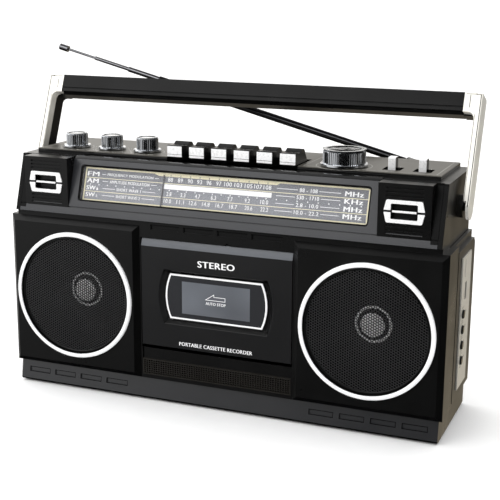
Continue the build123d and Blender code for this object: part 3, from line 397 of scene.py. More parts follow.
# ---- Tuning dial ----
# A glossy black frame holds a clear acrylic window over a silver-grey printed plate. The scale is
# screen printed in cream and white ink, and a thin dark pointer runs behind the window.
RAKE_LEAN = atan(13.5 / 42.7)
bezel_low, bezel_high = span("dial_bezel")
RAKE_RUN = (bezel_high.z - bezel_low.z - 2.0 * sin(RAKE_LEAN)) / cos(RAKE_LEAN)
UP_RAKE = Vector((0, sin(RAKE_LEAN), cos(RAKE_LEAN)))
OUT_RAKE = Vector((0, -cos(RAKE_LEAN), sin(RAKE_LEAN)))


def facing(origin, across, up):
    """The matrix of a flat face: x across it, y up it, z out of it."""
    across, up = Vector(across), Vector(up)
    out = across.cross(up)
    turn = Matrix((across, up, out)).transposed().to_4x4()
    return Matrix.Translation(origin) @ turn


def lettering(shape, words, at, size, face, bold=0.0):
    """Adds printed words: at is their middle on the face, and size their full width and height. Heavier words
    are printed twice, bold apart, the second time on top of the first."""
    curve = bpy.data.curves.new("lettering", "FONT")
    curve.body = words
    curve.resolution_u = 3
    curve.space_character = 1.08
    holder = bpy.data.objects.new("lettering", curve)
    mesh = bpy.data.meshes.new_from_object(holder)
    across = [v.co.x for v in mesh.vertices]
    up = [v.co.y for v in mesh.vertices]
    width, height = max(across) - min(across), max(up) - min(up)
    grow = Matrix.Diagonal(((size[0] - bold) / width, size[1] / height, 1.0, 1.0))
    centre = Matrix.Translation((-(max(across) + min(across)) / 2, -(max(up) + min(up)) / 2, 0))
    mesh.transform(grow @ centre)
    for lift, shift in enumerate((-bold / 2, bold / 2) if bold else (0.0,)):
        print_run = mesh.copy()
        print_run.transform(face @ Matrix.Translation((at[0] + shift, at[1], 0.006 * lift)))
        shape.from_mesh(print_run)


def patch(shape, corners, face):
    """Adds a flat printed patch with these (x, y) corners on a face."""
    shape.faces.new([shape.verts.new(face @ Vector((x, y, 0))) for x, y in corners])


def stripe(shape, x0, x1, y, height, face):
    """Adds a printed rectangle from x0 to x1, centred on y."""
    patch(shape, ((x0, y - height / 2), (x1, y - height / 2), (x1, y + height / 2), (x0, y + height / 2)), face)


def ink(name, dark, light):
    """Screen-printing ink: matt, with the faint mesh of the screen in its tone."""
    made, tree, out = new_material(name)
    where = add(tree, "TexCoord").outputs["Object"]
    mesh = add(tree, "TexVoronoi", {"Scale": 2200.0}, {"Vector": where}).outputs["Distance"]
    tone = mixed(tree, dark, light, mesh)
    skin = add(tree, "BsdfPrincipled", {"Roughness": 0.5, "Specular IOR Level": 0.3}, {"Base Color": tone})
    tree.links.new(skin.outputs[0], out.inputs[0])
    return made


def dial_plate():
    """Silver-grey paint on aluminium, with painted shade: darker at the top and towards the right-hand end, where
    less light falls, and lighter at the bottom.
    """
    made, tree, out = new_material("aluminium plate, sprayed silver grey, with painted shade")
    where = add(tree, "TexCoord").outputs["Object"]
    place = add(tree, "SeparateXYZ", links={"Vector": where}).outputs
    # Painted shade by height and by x, mixed into the paint's tone.
    rise = add(tree, "MapRange", {"From Min": 0.186, "From Max": 0.157}, {"Value": place["Z"]}).outputs[0]
    end = add(tree, "MapRange", {"From Min": 0.02, "From Max": 0.115, "To Min": 1.0, "To Max": 0.35},
              {"Value": place["X"]}).outputs[0]
    painted_shade_share = add(tree, "Math", {"operation": "MULTIPLY"}, {0: rise, 1: end}).outputs[0]
    flake = add(tree, "TexNoise", {"Scale": 2500.0, "Detail": 2.0}, {"Vector": where}).outputs[0]
    painted_shade_tone = mixed(tree, "#55575e", "#8a8c94", painted_shade_share)
    fleck = add(tree, "Mix", {"data_type": "RGBA", "blend_type": "OVERLAY", 0: 0.25},
                {6: painted_shade_tone, 7: flake}).outputs[2]
    skin = add(tree, "BsdfPrincipled", {"Roughness": 0.40, "Metallic": 0.2}, {"Base Color": fleck})
    tree.links.new(skin.outputs[0], out.inputs[0])
    return made


def clear(name, tint, opacity, rough):
    """Clear moulded acrylic: glossy, with faint ripples from the mould in its surface."""
    made, tree, out = new_material(name)
    where = add(tree, "TexCoord").outputs["Object"]
    ripple = add(tree, "TexNoise", {"Scale": 90.0, "Detail": 1.0}, {"Vector": where}).outputs[0]
    bump = add(tree, "Bump", {"Strength": 0.1, "Distance": 0.0002}, {"Height": ripple}).outputs[0]
    skin = add(tree, "BsdfPrincipled", {"Base Color": linear(tint), "Roughness": rough, "Alpha": opacity},
               {"Normal": bump})
    tree.links.new(skin.outputs[0], out.inputs[0])
    return made


dial_black = moulded("acrylic, gloss black", "#050505", "#090909", 0.16, 2.0, 0.004, 0.15)
from_frame("dial_frame", [dial_black], 0.5)
dress("dial_scale", dial_plate())
dress("dial_window", clear("acrylic window, clear", "#f2f3f5", 0.05, 0.12))
dress("dial_pointer", ink("acetal pointer, dark grey", "#3c3c3e", "#4a4a4c"))

RAKE_FOOT = Vector((0, bezel_low.y, bezel_high.z - RAKE_RUN * cos(RAKE_LEAN)))
scale_face = facing(RAKE_FOOT - OUT_RAKE * 4.42, (1, 0, 0), UP_RAKE)
cream_ink = ink("screen ink, cream", "#f6ecbe", "#fdf6d6")
white_ink = ink("screen ink, white", "#f0f0f2", "#fbfbfb")
INNER_X, ROWS = 117.4, (34.3, 28.8, 23.1, 17.6)
BORDER_LOW, BORDER_HIGH, BORDER_WIDE, MASK_WIDE = 12.7, 39.3, 1.25, 1.1


def border(shape, half, low_y, high_y, wide, face):
    """Adds a printed rectangular border, wide across, whose outer edge is at half, low_y and high_y."""
    for x in (-half + wide / 2, half - wide / 2):
        stripe(shape, x - wide / 2, x + wide / 2, (low_y + high_y) / 2, high_y - low_y, face)
    for y in (low_y + wide / 2, high_y - wide / 2):
        stripe(shape, -half + wide, half - wide, y, wide, face)


mask = bmesh.new()
border(mask, INNER_X + MASK_WIDE, BORDER_LOW - MASK_WIDE, BORDER_HIGH + MASK_WIDE, MASK_WIDE, scale_face)
make_piece("dial_black_print", mask, [ink("screen ink, black", "#060606", "#0c0c0c")], "cabinet")
cream = bmesh.new()
border(cream, INNER_X, BORDER_LOW, BORDER_HIGH, BORDER_WIDE, scale_face)
TABLET_TOP = BORDER_HIGH - BORDER_WIDE
patch(cream, ((-52.6, 36.6), (45.0, 36.6), (47.8, TABLET_TOP), (-56.6, TABLET_TOP)), scale_face)
for y in (31.2, 20.3):
    stripe(cream, -INNER_X + BORDER_WIDE, INNER_X - BORDER_WIDE, y, 0.4, scale_face)
make_piece("dial_cream_print", cream, [cream_ink], "cabinet")

white = bmesh.new()
FM = ("88", -42.4), ("89", -34.0), ("90", -25.6), ("93", -17.8), ("96", -9.9), ("97", -1.8), ("100", 5.9), \
     ("103", 14.3), ("105", 22.7), ("107", 30.4), ("108", 37.9)
SW_1 = ("2.8", -42.3), ("3.3", -30.4), ("4.7", -18.0), ("6.3", -4.7), ("7.7", 8.9), ("9.2", 23.0), ("10.0", 36.7)
SW_2 = ("10.0", -42.9), ("11.1", -32.0), ("12.6", -21.3), ("14.8", -10.3), ("16.7", 0.9), ("18.7", 12.2), \
       ("20.6", 24.7), ("22.2", 37.4)
for numbers, row in ((FM, 0), (SW_1, 2), (SW_2, 3)):
    for words, x in numbers:
        lettering(white, words, (x, ROWS[row]), (2.1 * len(words.replace(".", "")), 3.2), scale_face, 0.12)
for words, row, width in (("FM", 0, 10.6), ("AM", 1, 10.6)):
    lettering(white, words, (-110.1, ROWS[row]), (width, 3.5), scale_face, 0.45)
for number, row in (("1", 2), ("2", 3)):
    lettering(white, "SW", (-111.0, ROWS[row]), (8.4, 3.3), scale_face, 0.4)
    lettering(white, number, (-105.3, ROWS[row] - 0.7), (1.3, 1.9), scale_face, 0.25)
for words, row, width, dash in (("FREQUENCY MODULATION", 0, 40.4, 3.4), ("AMPLITUDE MODULATION", 1, 35.0, 5.0),
                                ("SHORT WAVE 1", 2, 21.4, 11.0), ("SHORT WAVE 2", 3, 21.4, 11.0)):
    x = -77.4
    lettering(white, words, (x, ROWS[row]), (width, 2.4), scale_face, 0.12)
    for side in (-1, 1):
        ends = sorted((x + side * (width / 2 + 1.4), x + side * (width / 2 + 1.4 + dash)))
        stripe(white, ends[0], ends[1], ROWS[row], 0.4, scale_face)
for words, unit, row in (("88 - 108", "MHz", 0), ("530 - 1710", "KHz", 1), ("2.8 - 10.0", "MHz", 2),
                         ("10.0 - 22.2", "MHz", 3)):
    width = 1.75 * len(words)
    lettering(white, words, (70.4, ROWS[row]), (width, 2.9), scale_face, 0.12)
    lettering(white, unit, (105.6, ROWS[row]), (14.4, 3.6), scale_face, 0.45)
    stripe(white, 45.4, 69.0 - width / 2, ROWS[row], 0.4, scale_face)
    stripe(white, 71.8 + width / 2, 95.4, ROWS[row], 0.4, scale_face)
stripe(white, -47.3, 41.8, 28.65, 3.7, scale_face)
for side in (-1, 1):
    for n in range(9):
        x = 46.0 + 8.2 * n if side > 0 else -51.0 - 7.6 * n
        stripe(white, x - 0.4, x + 0.4, 25.8, 0.9, scale_face)
for n in range(12):
    x = -42.4 + 11.3 * n / 1.55
    stripe(white, x - 0.4, x + 0.4, 25.8, 0.9, scale_face)
make_piece("dial_white_print", white, [white_ink], "cabinet")
marks = bmesh.new()
mark_face = facing(RAKE_FOOT - OUT_RAKE * 4.40, (1, 0, 0), UP_RAKE)
for words, x in FM:
    stripe(marks, x - 0.25, x + 0.25, 37.4, 1.4, mark_face)
grey_ink = ink("screen ink, dark grey", "#3a3a38", "#444442")
make_piece("dial_tick_print", marks, [grey_ink], "cabinet")

# ---- Painted shadows of the grooves in the plinth and the front ----
# The tool leaves shallow grooves in the moulding: the outlines of eight blocks on the plinth, and four
# long slots above the cassette door. Their shade is painted as thin black lines: round each block, and
# on the top and left edges of each slot, where the walls lie in shadow.
PLINTH_LEAN = atan(2.6 / 15.7)
plinth_face = facing((0, -44.43, 3.1), (1, 0, 0), (0, sin(PLINTH_LEAN), cos(PLINTH_LEAN)))
front_face = facing((0, -43.63, 0), (1, 0, 0), (0, 0, 1))
groove_shadows = bmesh.new()
for n in range(8):
    centre = (87.3 + 24.2 * (n % 4)) * (-1 if n < 4 else 1)
    border(groove_shadows, 9.8, 5.8, 10.2, 0.45, plinth_face @ Matrix.Translation((centre, 0, 0)))
# Painted shadow of each slot: a line along its top and one down its left edge.
for n in range(4):
    left = 28.2 * (n - 1.5) - 12.4
    stripe(groove_shadows, left, left + 24.8, 144.8, 0.7, front_face)
    stripe(groove_shadows, left, left + 0.8, 143.05, 4.1, front_face)
make_piece("painted_groove_shadows", groove_shadows, [dial_black], "cabinet")

# ---- Loudspeakers ----
# Behind each silver-sprayed ring lies a sheet of steel, punched with staggered round holes and
# enamelled black. Through the holes show the black paper cone, its bright rim and the metal dust cap.
silver = moulded("polystyrene, sprayed silver", "#f3f4f5", "#fbfbfc", 0.30, 0.5, 0.003)
enamel = moulded("steel sheet, black enamel", "#262627", "#303031", 0.34, 0.8, 0.006, 0.5)
paper = moulded("pressed paper cone, black", "#040404", "#070707", 0.85, 0.9, 0.08, 0.1)
dome_metal = metal("aluminium dome, spun", "#fafafa", "#ffffff", 0.3, (1, 1, 1), 0.9, 0.01, bare=0.1)
ferrite = metal("steel frame and magnet, painted", "#3a3b3d", "#505154", 0.5, (1, 1, 1), 2.0, 0.02)
HOLE_PITCH, HOLE_R, MESH_R = 2.1, 0.84, 50.2


def repeat(shape, step, count):
    """Repeats everything in a bmesh along a step, count times in all."""
    seed = shape.verts[:] + shape.edges[:] + shape.faces[:]
    for n in range(1, count):
        copy = bmesh.ops.duplicate(shape, geom=seed)
        bmesh.ops.translate(shape, verts=verts_in(copy), vec=Vector(step) * n)


for name in ("left", "right"):
    low, high = span("speaker_ring_" + name)
    hub = Vector(((low.x + high.x) / 2, high.y, (low.z + high.z) / 2))
    ring = bmesh.new()
    turned_profile(ring, [(48.7, 0.2), (48.7, -1.6), (49.1, -2.0), (51.2, -2.0), (51.8, -1.7), (52.0, -1.2),
                          (52.0, 0.0), (48.7, 0.2)], hub, (0, 1, 0), 128)
    # The ring's inner wall takes black: painted shade inside the ring.
    for face in ring.faces:
        at = face.calc_center_median() - hub
        face.material_index = 1 if (at.x ** 2 + at.z ** 2) ** 0.5 < 48.8 else 0
    piece = make_piece("speaker_trim_" + name, ring, [silver, black_case], "cabinet",
                       ("speaker_ring_" + name,))
    piece.data.shade_smooth()
    piece.data.set_sharp_from_angle(angle=radians(50))

    sheet = bmesh.new()
    bmesh.ops.create_circle(sheet, cap_ends=True, segments=6, radius=HOLE_PITCH / (2 * cos(radians(30))))
    cell = sheet.faces[:]
    bmesh.ops.inset_individual(sheet, faces=cell, thickness=HOLE_PITCH / 2 - HOLE_R * cos(radians(30)))
    bmesh.ops.delete(sheet, geom=cell, context="FACES")
    bmesh.ops.rotate(sheet, verts=sheet.verts, cent=(0, 0, 0), matrix=Matrix.Rotation(radians(30), 3, "Z"))
    width = max(v.co.x for v in sheet.verts) * 2
    rise = HOLE_PITCH * cos(radians(30))
    sideways = abs(width - HOLE_PITCH) < 0.01
    across, up = ((HOLE_PITCH, 0, 0), (HOLE_PITCH / 2, rise, 0)) if sideways else ((0, HOLE_PITCH, 0),
                                                                                     (rise, HOLE_PITCH / 2, 0))
    back = (-HOLE_PITCH / 2, rise, 0) if sideways else (rise, -HOLE_PITCH / 2, 0)
    count = int(2 * MESH_R / HOLE_PITCH) + 2
    repeat(sheet, across, count)
    first = sheet.verts[:] + sheet.edges[:] + sheet.faces[:]
    second = bmesh.ops.duplicate(sheet, geom=first)
    bmesh.ops.translate(sheet, verts=verts_in(second), vec=up)
    repeat(sheet, Vector(up) + Vector(back), int(MESH_R / rise) + 2)
    bmesh.ops.remove_doubles(sheet, verts=sheet.verts, dist=0.02)
    middle = sum((v.co for v in sheet.verts), Vector()) / len(sheet.verts)
    bmesh.ops.translate(sheet, verts=sheet.verts, vec=-middle)
    far = [f for f in sheet.faces if f.calc_center_median().length > MESH_R]
    bmesh.ops.delete(sheet, geom=far, context="FACES")
    bmesh.ops.transform(sheet, verts=sheet.verts,
                        matrix=facing((hub.x, high.y + 0.5, hub.z), (1, 0, 0), (0, 0, 1)))
    piece = make_piece("speaker_mesh_" + name, sheet, [enamel], "cabinet",
                       ("speaker_grille_" + name,))
    thick = piece.modifiers.new("sheet thickness", "SOLIDIFY")
    thick.thickness = 0.0006
    thick.offset = -1

    # A flat black band over the mesh's outer edge: painted shade inside the ring, not a part of its own.
    rim = bmesh.new()
    turned_profile(rim, [(46.2, 0.45), (46.2, 0.2), (46.6, 0.0), (48.69, 0.0), (48.69, 0.45), (46.2, 0.45)], hub,
                   (0, 1, 0), 96)
    make_piece("speaker_shade_band_" + name, rim, [black_case], "cabinet").data.shade_smooth()

    cap = span("speaker_cone_" + name)[1].y
    low = span("speaker_cone_" + name)[0].y
    cone = bmesh.new()
    turned_profile(cone, [(46.6, 0.8), (46.6, 0.0), (44.6, -0.1), (43.2, 1.2), (41.8, 0.0), (40.0, 1.6),
                          (28.0, 9.7), (14.4, 17.8), (14.0, 17.3), (12.9, 17.2), (12.4, 17.6), (9.4, 15.2),
                          (9.0, 14.9), (6.6, 13.8), (3.6, 12.9), (0.0, 12.6), (0.0, 22.8), (12.6, 22.8),
                          (14.0, 20.2), (43.5, 0.8), (46.6, 0.8)],
                   (hub.x, low, hub.z), (0, 1, 0), 72)
    for face in cone.faces:
        at = face.calc_center_median()
        radius = Vector((at.x - hub.x, 0, at.z - hub.z)).length
        face.material_index = 1 if at.y < low + 19.0 and (radius < 9.3 or 12.4 < radius < 14.2) else 0
    piece = make_piece("speaker_paper_" + name, cone, [paper, dome_metal], "cabinet",
                       ("speaker_cone_" + name,))
    piece.data.shade_smooth()
    piece.data.set_sharp_from_angle(angle=radians(40))
    dress("speaker_driver_" + name, ferrite)

# ---- Vent strip ----
# A black moulded lattice of small square holes closes the space below the cassette door, with a
# plain border that clips into the cabinet.
low, high = span("vent_grille")
COLUMNS, LINES, BORDER = 60, 7, 0.7
lattice = bmesh.new()
pitch_x, pitch_z = (high.x - low.x - 2 * BORDER) / COLUMNS, (high.z - low.z - 2 * BORDER) / LINES
bmesh.ops.create_grid(lattice, x_segments=COLUMNS, y_segments=LINES, size=0.5)
bmesh.ops.scale(lattice, vec=(pitch_x * COLUMNS, pitch_z * LINES, 1), verts=lattice.verts)
holes = lattice.faces[:]
border = bmesh.ops.extrude_edge_only(lattice, edges=[e for e in lattice.edges if e.is_boundary])
for v in verts_in(border):
    v.co.x += BORDER * (1 if v.co.x > 0 else -1) if abs(abs(v.co.x) - pitch_x * COLUMNS / 2) < 0.01 else 0.0
    v.co.y += BORDER * (1 if v.co.y > 0 else -1) if abs(abs(v.co.y) - pitch_z * LINES / 2) < 0.01 else 0.0
bmesh.ops.inset_individual(lattice, faces=holes, thickness=0.42)
bmesh.ops.delete(lattice, geom=holes, context="FACES")
bmesh.ops.transform(lattice, verts=lattice.verts, matrix=facing(((low.x + high.x) / 2, low.y, (low.z + high.z) / 2),
                                                                (1, 0, 0), (0, 0, 1)))
vent = make_piece("vent_lattice", lattice, [moulded("polystyrene, black, vent lattice", "#1a1814", "#221f1a", 0.35,
                                                    0.5, 0.006)], "cabinet", ("vent_grille",))
thick = vent.modifiers.new("lattice depth", "SOLIDIFY")
thick.thickness = 0.0016
thick.offset = -1
backing = bmesh.new()
bmesh.ops.create_grid(backing, x_segments=12, y_segments=2, size=0.5)
bmesh.ops.scale(backing, vec=(high.x - low.x - 1, high.z - low.z - 1, 1), verts=backing.verts)
bmesh.ops.transform(backing, verts=backing.verts, matrix=facing(((low.x + high.x) / 2, high.y + 0.3,
                                                                 (low.z + high.z) / 2), (1, 0, 0), (0, 0, 1)))
felt = moulded("dust felt, black", "#050505", "#0a0a0a", 0.95, 0.6, 0.1, 0.1)
fold = make_piece("vent_felt", backing, [felt], "cabinet").modifiers.new("felt", "SOLIDIFY")
fold.thickness = 0.0004

# ---- Cassette door ----
# A dark grey door with a sloped grip strip along its top edge, sprayed lighter grey. A smoked
# acrylic insert with a white printed outline sits in its recess, over the see-through window.
door_grey = moulded("polystyrene, dark grey, fine spark texture", "#161617", "#1b1b1c", 0.34, 0.5, 0.006, 0.35)
grip_satin = moulded("polystyrene, sprayed satin light grey", "#5f6267", "#686b70", 0.36, 0.6, 0.005, 0.6)
GRIP_EDGE = 127.8
door_low = span("door_panel")[0]


def door_finish(at, normal):
    """Painted shade in the recess, as black; light grey on the grip strip and dark grey elsewhere."""
    # Painted shade: the recess faces take the black finish.
    if at.y > door_low.y + 0.2 and abs(at.x) < 44.0 and 68.0 < at.z < 110.0:
        return 2
    return at.z > GRIP_EDGE and normal.y < -0.8


from_frame("door_panel", [door_grey, grip_satin, black_case], 0.3, door_finish)
dress("door_window", clear("acrylic window, smoked", "#50545b", 0.45, 0.1))
dress("cassette_holder", moulded("acetal, dark grey", "#2a2a2b", "#343435", 0.5, 0.8, 0.01))


def barrel_outline(half, bulge, low_z, high_z, steps=10):
    """The corners of a flat-topped outline whose two sides bulge outwards."""
    middle, tall = (low_z + high_z) / 2, (high_z - low_z) / 2
    right = [(half + (bulge - half) * (1 - (2 * n / steps - 1) ** 2), middle + tall * (2 * n / steps - 1))
             for n in range(steps + 1)]
    return right + [(-x, z) for x, z in reversed(right)]


insert = bmesh.new()
INSERT_Y = door_low.y + 1.5
rim_points = [insert.verts.new((x, INSERT_Y, z)) for x, z in barrel_outline(38.6, 42.6, 70.9, 107.2)]
plate = insert.faces.new(rim_points)
bmesh.ops.recalc_face_normals(insert, faces=insert.faces)
if plate.normal.y > 0:
    bmesh.ops.reverse_faces(insert, faces=[plate])
edge_band = bmesh.ops.inset_region(insert, faces=[plate], thickness=1.35, use_even_offset=True,
                                   use_boundary=True)
for face in edge_band["faces"]:
    face.material_index = 1
smoke = moulded("acrylic, smoked grey, gloss", "#26272a", "#2b2c2f", 0.2, 3.0, 0.003)
inlay = make_piece("door_insert", insert, [smoke, white_ink], "cassette_door")
thick = inlay.modifiers.new("insert thickness", "SOLIDIFY")
thick.thickness = 0.0011
thick.offset = -1


def smoked_pane():
    """Smoked window, tinted grey, with a soft cloudy change of tone as over a lit cassette."""
    made, tree, out = new_material("acrylic pane, grey tint")
    where = add(tree, "TexCoord").outputs["Object"]
    cloud = add(tree, "TexNoise", {"Scale": 22.0, "Detail": 1.0}, {"Vector": where}).outputs[0]
    spread = add(tree, "MapRange", {"From Min": 0.35, "From Max": 0.65}, {"Value": cloud}).outputs[0]
    tone = mixed(tree, "#5b5e64", "#6d7178", spread)
    skin = add(tree, "BsdfPrincipled", {"Roughness": 0.25, "Alpha": 0.9}, {"Base Color": tone})
    tree.links.new(skin.outputs[0], out.inputs[0])
    return made


pane = bmesh.new()
bmesh.ops.create_grid(pane, x_segments=8, y_segments=4, size=0.5)
bmesh.ops.scale(pane, vec=(57.0, 26.0, 1), verts=pane.verts)
bmesh.ops.transform(pane, verts=pane.verts, matrix=facing((0, INSERT_Y - 0.02, 88.9), (1, 0, 0), (0, 0, 1)))
glass = make_piece("door_pane", pane, [smoked_pane()], "cassette_door")
thick = glass.modifiers.new("pane thickness", "SOLIDIFY")
thick.thickness = 0.0004
thick.offset = -1

printed = bmesh.new()
door_face = facing((0, door_low.y - 0.03, 0), (1, 0, 0), (0, 0, 1))
lettering(printed, "STEREO", (1.0, 117.4), (31.0, 5.0), door_face, 0.5)
lettering(printed, "PORTABLE CASSETTE RECORDER", (0.4, 51.3), (61.8, 3.0), door_face, 0.22)
pane_face = facing((0, INSERT_Y - 0.06, 0), (1, 0, 0), (0, 0, 1))
lettering(printed, "AUTO STOP", (0.1, 86.4), (16.8, 2.3), pane_face, 0.14)
arrow = ((-8.4, 89.2), (8.0, 89.2), (8.0, 92.0), (-1.4, 92.0), (-1.4, 93.9))
for start, end in zip(arrow, arrow[1:] + arrow[:1]):
    run = Vector(end) - Vector(start)
    across = Vector((-run.y, run.x)).normalized() * 0.22
    lap = run.normalized() * 0.2
    a, b = Vector(start) - lap, Vector(end) + lap
    patch(printed, (a - across, b - across, b + across, a + across), pane_face)
make_piece("door_print", printed, [white_ink], "cassette_door")

# ---- Tape mechanism ----
# A pressed and zinc-plated steel chassis carries white acetal hubs, a turned brass flywheel with
# its capstan, and the motor.
dress("tape_chassis", metal("steel chassis, zinc plated", "#8f9296", "#a9abae", 0.32, (1, 1, 6), 4.0, 0.01))
acetal = moulded("acetal hub, white", "#d8d8d2", "#e6e6e0", 0.35, 0.9, 0.01)
for name in ("reel_left", "reel_right"):
    dress(name, acetal)
dress("flywheel", metal("brass, turned", "#a98a4a", "#c8a865", 0.25, (1, 8, 1), 6.0, 0.01))

# ---- Control plate ----
# An extruded aluminium plate, brushed and lacquered grey-brown, screwed down over the top. Thin
# bright lines are printed near its edges and round the knobs. Its edges are polished black, as the keys.
key_black = moulded("ABS, black, polished", "#0a0a0a", "#0f0f0f", 0.14, 1.2, 0.003, 0.5)
plate_finish = metal("aluminium, brushed, grey-brown lacquer", "#4c4943", "#5d5a52", 0.34, (0.04, 1, 1), 0.8, 0.01,
                     bare=0.4)
from_frame("control_plate", [plate_finish, key_black], 0.3,
           lambda at, normal: abs(normal.z) < 0.5)
plate_low, plate_high = span("control_plate")
top_face = facing((0, 0, plate_high.z + 0.03), (1, 0, 0), (0, 1, 0))
lines = bmesh.new()
knob_hubs = []
for name in ("knob_1", "knob_2", "knob_3", "tuning_knob"):
    low, high = span(name)
    knob_hubs.append(((low.x + high.x) / 2, (low.y + high.y) / 2, (high.x - low.x) / 2))
keys_left, keys_right = span("key_1")[0].x - 4.5, span("key_6")[1].x + 4.5
for x0, x1 in ((plate_low.x + 4.0, keys_left), (keys_right, plate_high.x - 4.0)):
    for y in (plate_low.y + 3.6, plate_high.y - 4.0):
        stripe(lines, x0, x1, y, 0.5, top_face)
    for x in (x0, x1):
        stripe(lines, x - 0.25, x + 0.25, (plate_low.y + plate_high.y - 0.4) / 2,
               plate_high.y - plate_low.y - 7.1, top_face)
stripe(lines, keys_left, keys_right, plate_high.y - 4.0, 0.5, top_face)
for x, y, radius in knob_hubs:
    circle = bmesh.ops.create_circle(lines, cap_ends=True, segments=72, radius=radius + 2.6)
    disc = [f for f in lines.faces if f.verts[0] in circle["verts"] and len(f.verts) == 72]
    bmesh.ops.inset_region(lines, faces=disc, thickness=0.6, use_boundary=True)
    moved = list({v for f in disc for v in f.verts} | set(circle["verts"]))
    bmesh.ops.delete(lines, geom=disc, context="FACES_ONLY")
    bmesh.ops.translate(lines, vec=(x, y, plate_high.z + 0.03), verts=[v for v in moved if v.is_valid])
make_piece("plate_print", lines, [ink("screen ink, pale grey", "#a9a7a2", "#b7b5b0")], "cabinet")
steps = bmesh.new()
for name in ("switch_lever_1", "switch_lever_2"):
    low, high = span(name)
    for n in (-1, 0, 1):
        x = (low.x + high.x) / 2 + 3.5 * n
        stripe(steps, x - 0.2, x + 0.2, high.y + 5.2, 1.6, top_face)
for x, y, radius in knob_hubs[:3]:
    for n in range(11):
        angle = radians(240 - 30 * n)
        at = Vector((x, y)) + Vector((cos(angle), sin(angle))) * (radius + 4.2)
        stripe(steps, at.x - 0.35, at.x + 0.35, at.y, 0.7, top_face)
make_piece("plate_marks", steps, [white_ink], "cabinet")

# ---- Front bead ----
# A narrow glossy black bead of extruded styrene runs along the top of the front, before the control
# plate and the keys. It is cemented to the cabinet and hides the joint.
bead = bmesh.new()
outline = ((-32.9, 190.7), (-32.2, 191.6), (-31.0, 192.3), (-29.5, 192.7), (-28.0, 192.8), (-27.3, 192.6),
           (-27.3, 191.8))
end_face = bead.faces.new([bead.verts.new((-126.0, y, z)) for y, z in outline])
drawn = bmesh.ops.extrude_face_region(bead, geom=[end_face])
bmesh.ops.translate(bead, vec=(252.0, 0, 0), verts=verts_in(drawn))
bmesh.ops.recalc_face_normals(bead, faces=bead.faces)
bead_black = moulded("styrene, extruded, gloss black", "#060606", "#0a0a0a", 0.05, 2.0, 0.001, 1.0)
bead_piece = make_piece("front_bead", bead, [bead_black], "cabinet")
bead_piece.data.shade_smooth()
bead_piece.data.set_sharp_from_angle(angle=radians(40))

# ---- Piano keys ----
# Six black keys turn on one rod. Each has a plated cap on its front with a thin dark line near the
# lower edge, and a hump behind the finger dip.
for n in range(6):
    node = "key_" + str(n + 1)
    from_frame(node, [key_black], 0.3)
    low, high = span(node)
    caps = bmesh.new()
    for z0, z1 in ((196.0, 197.7), (198.0, 204.2)):
        cap = bmesh.ops.create_cube(caps, size=1.0)
        bmesh.ops.scale(caps, vec=(high.x - low.x - 0.3, 0.5, z1 - z0), verts=cap["verts"])
        bmesh.ops.translate(caps, vec=((low.x + high.x) / 2, low.y - 0.2, (z0 + z1) / 2), verts=cap["verts"])
    soften(make_piece(node + "_cap", caps, [white_plated], node), 0.15)
dress("key_bank", metal("steel, zinc plated", "#83868a", "#9a9da0", 0.35, (1, 1, 1), 3.0, 0.01))

# ---- Volume, balance and tone knobs ----
# Moulded and chrome-plated knobs with a skirt at the foot, fine flutes round the body and a dark
# line on top that shows the setting.
FLUTES, FLUTE_DEPTH = 40, 0.28
for n in range(3):
    node = "knob_" + str(n + 1)
    low, high = span(node)
    x, y = (low.x + high.x) / 2, (low.y + high.y) / 2
    foot = plate_high.z + 0.4
    knob = bmesh.new()
    turned_profile(knob, [(0.0, 0.0), (10.7, 0.0), (11.2, 0.5), (11.2, 1.5), (10.7, 2.1), (8.0, 2.4),
                          (0.0, 2.4)], (x, y, foot), (0, 0, 1), 64)
    circle = bmesh.ops.create_circle(knob, cap_ends=True, segments=FLUTES * 4, radius=8.8)
    for index, v in enumerate(circle["verts"]):
        v.co *= 1.0 - FLUTE_DEPTH / 8.8 * (index % 4 == 0)
    body = [f for f in knob.faces if len(f.verts) == FLUTES * 4]
    bmesh.ops.translate(knob, vec=(x, y, foot + 2.2), verts=circle["verts"])
    grown = bmesh.ops.extrude_face_region(knob, geom=body)
    bmesh.ops.translate(knob, vec=(0, 0, 8.3), verts=verts_in(grown))
    lid = [f for f in grown["geom"] if isinstance(f, bmesh.types.BMFace)]
    for size, lift in ((0.5, 0.7), (0.7, 0.35), (0.7, 0.0), (0.7, -0.45)):
        bmesh.ops.inset_region(knob, faces=lid, thickness=size)
        bmesh.ops.translate(knob, vec=(0, 0, lift), verts=list({v for f in lid for v in f.verts}))
    bmesh.ops.recalc_face_normals(knob, faces=knob.faces)
    piece = make_piece(node + "_shell", knob, [plated], node)
    piece.data.shade_smooth()
    piece.data.set_sharp_from_angle(angle=radians(30))
    shaft = bmesh.new()
    turned_profile(shaft, [(0.0, low.z), (3.0, low.z), (3.0, foot + 0.1), (0.0, foot + 0.1)], (x, y, 0),
                   (0, 0, 1), 32)
    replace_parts(make_piece(node + "_shaft", shaft, [zinc], node), node)
    line = bmesh.new()
    turn = radians((200, 150, 100)[n])
    mark = Matrix.Translation((x, y, high.z - 1.15)) @ Matrix.Rotation(turn, 4, "Z")
    stripe(line, 2.4, 6.2, 0.0, 0.7, mark)
    make_piece(node + "_mark", line, [dial_black], node)

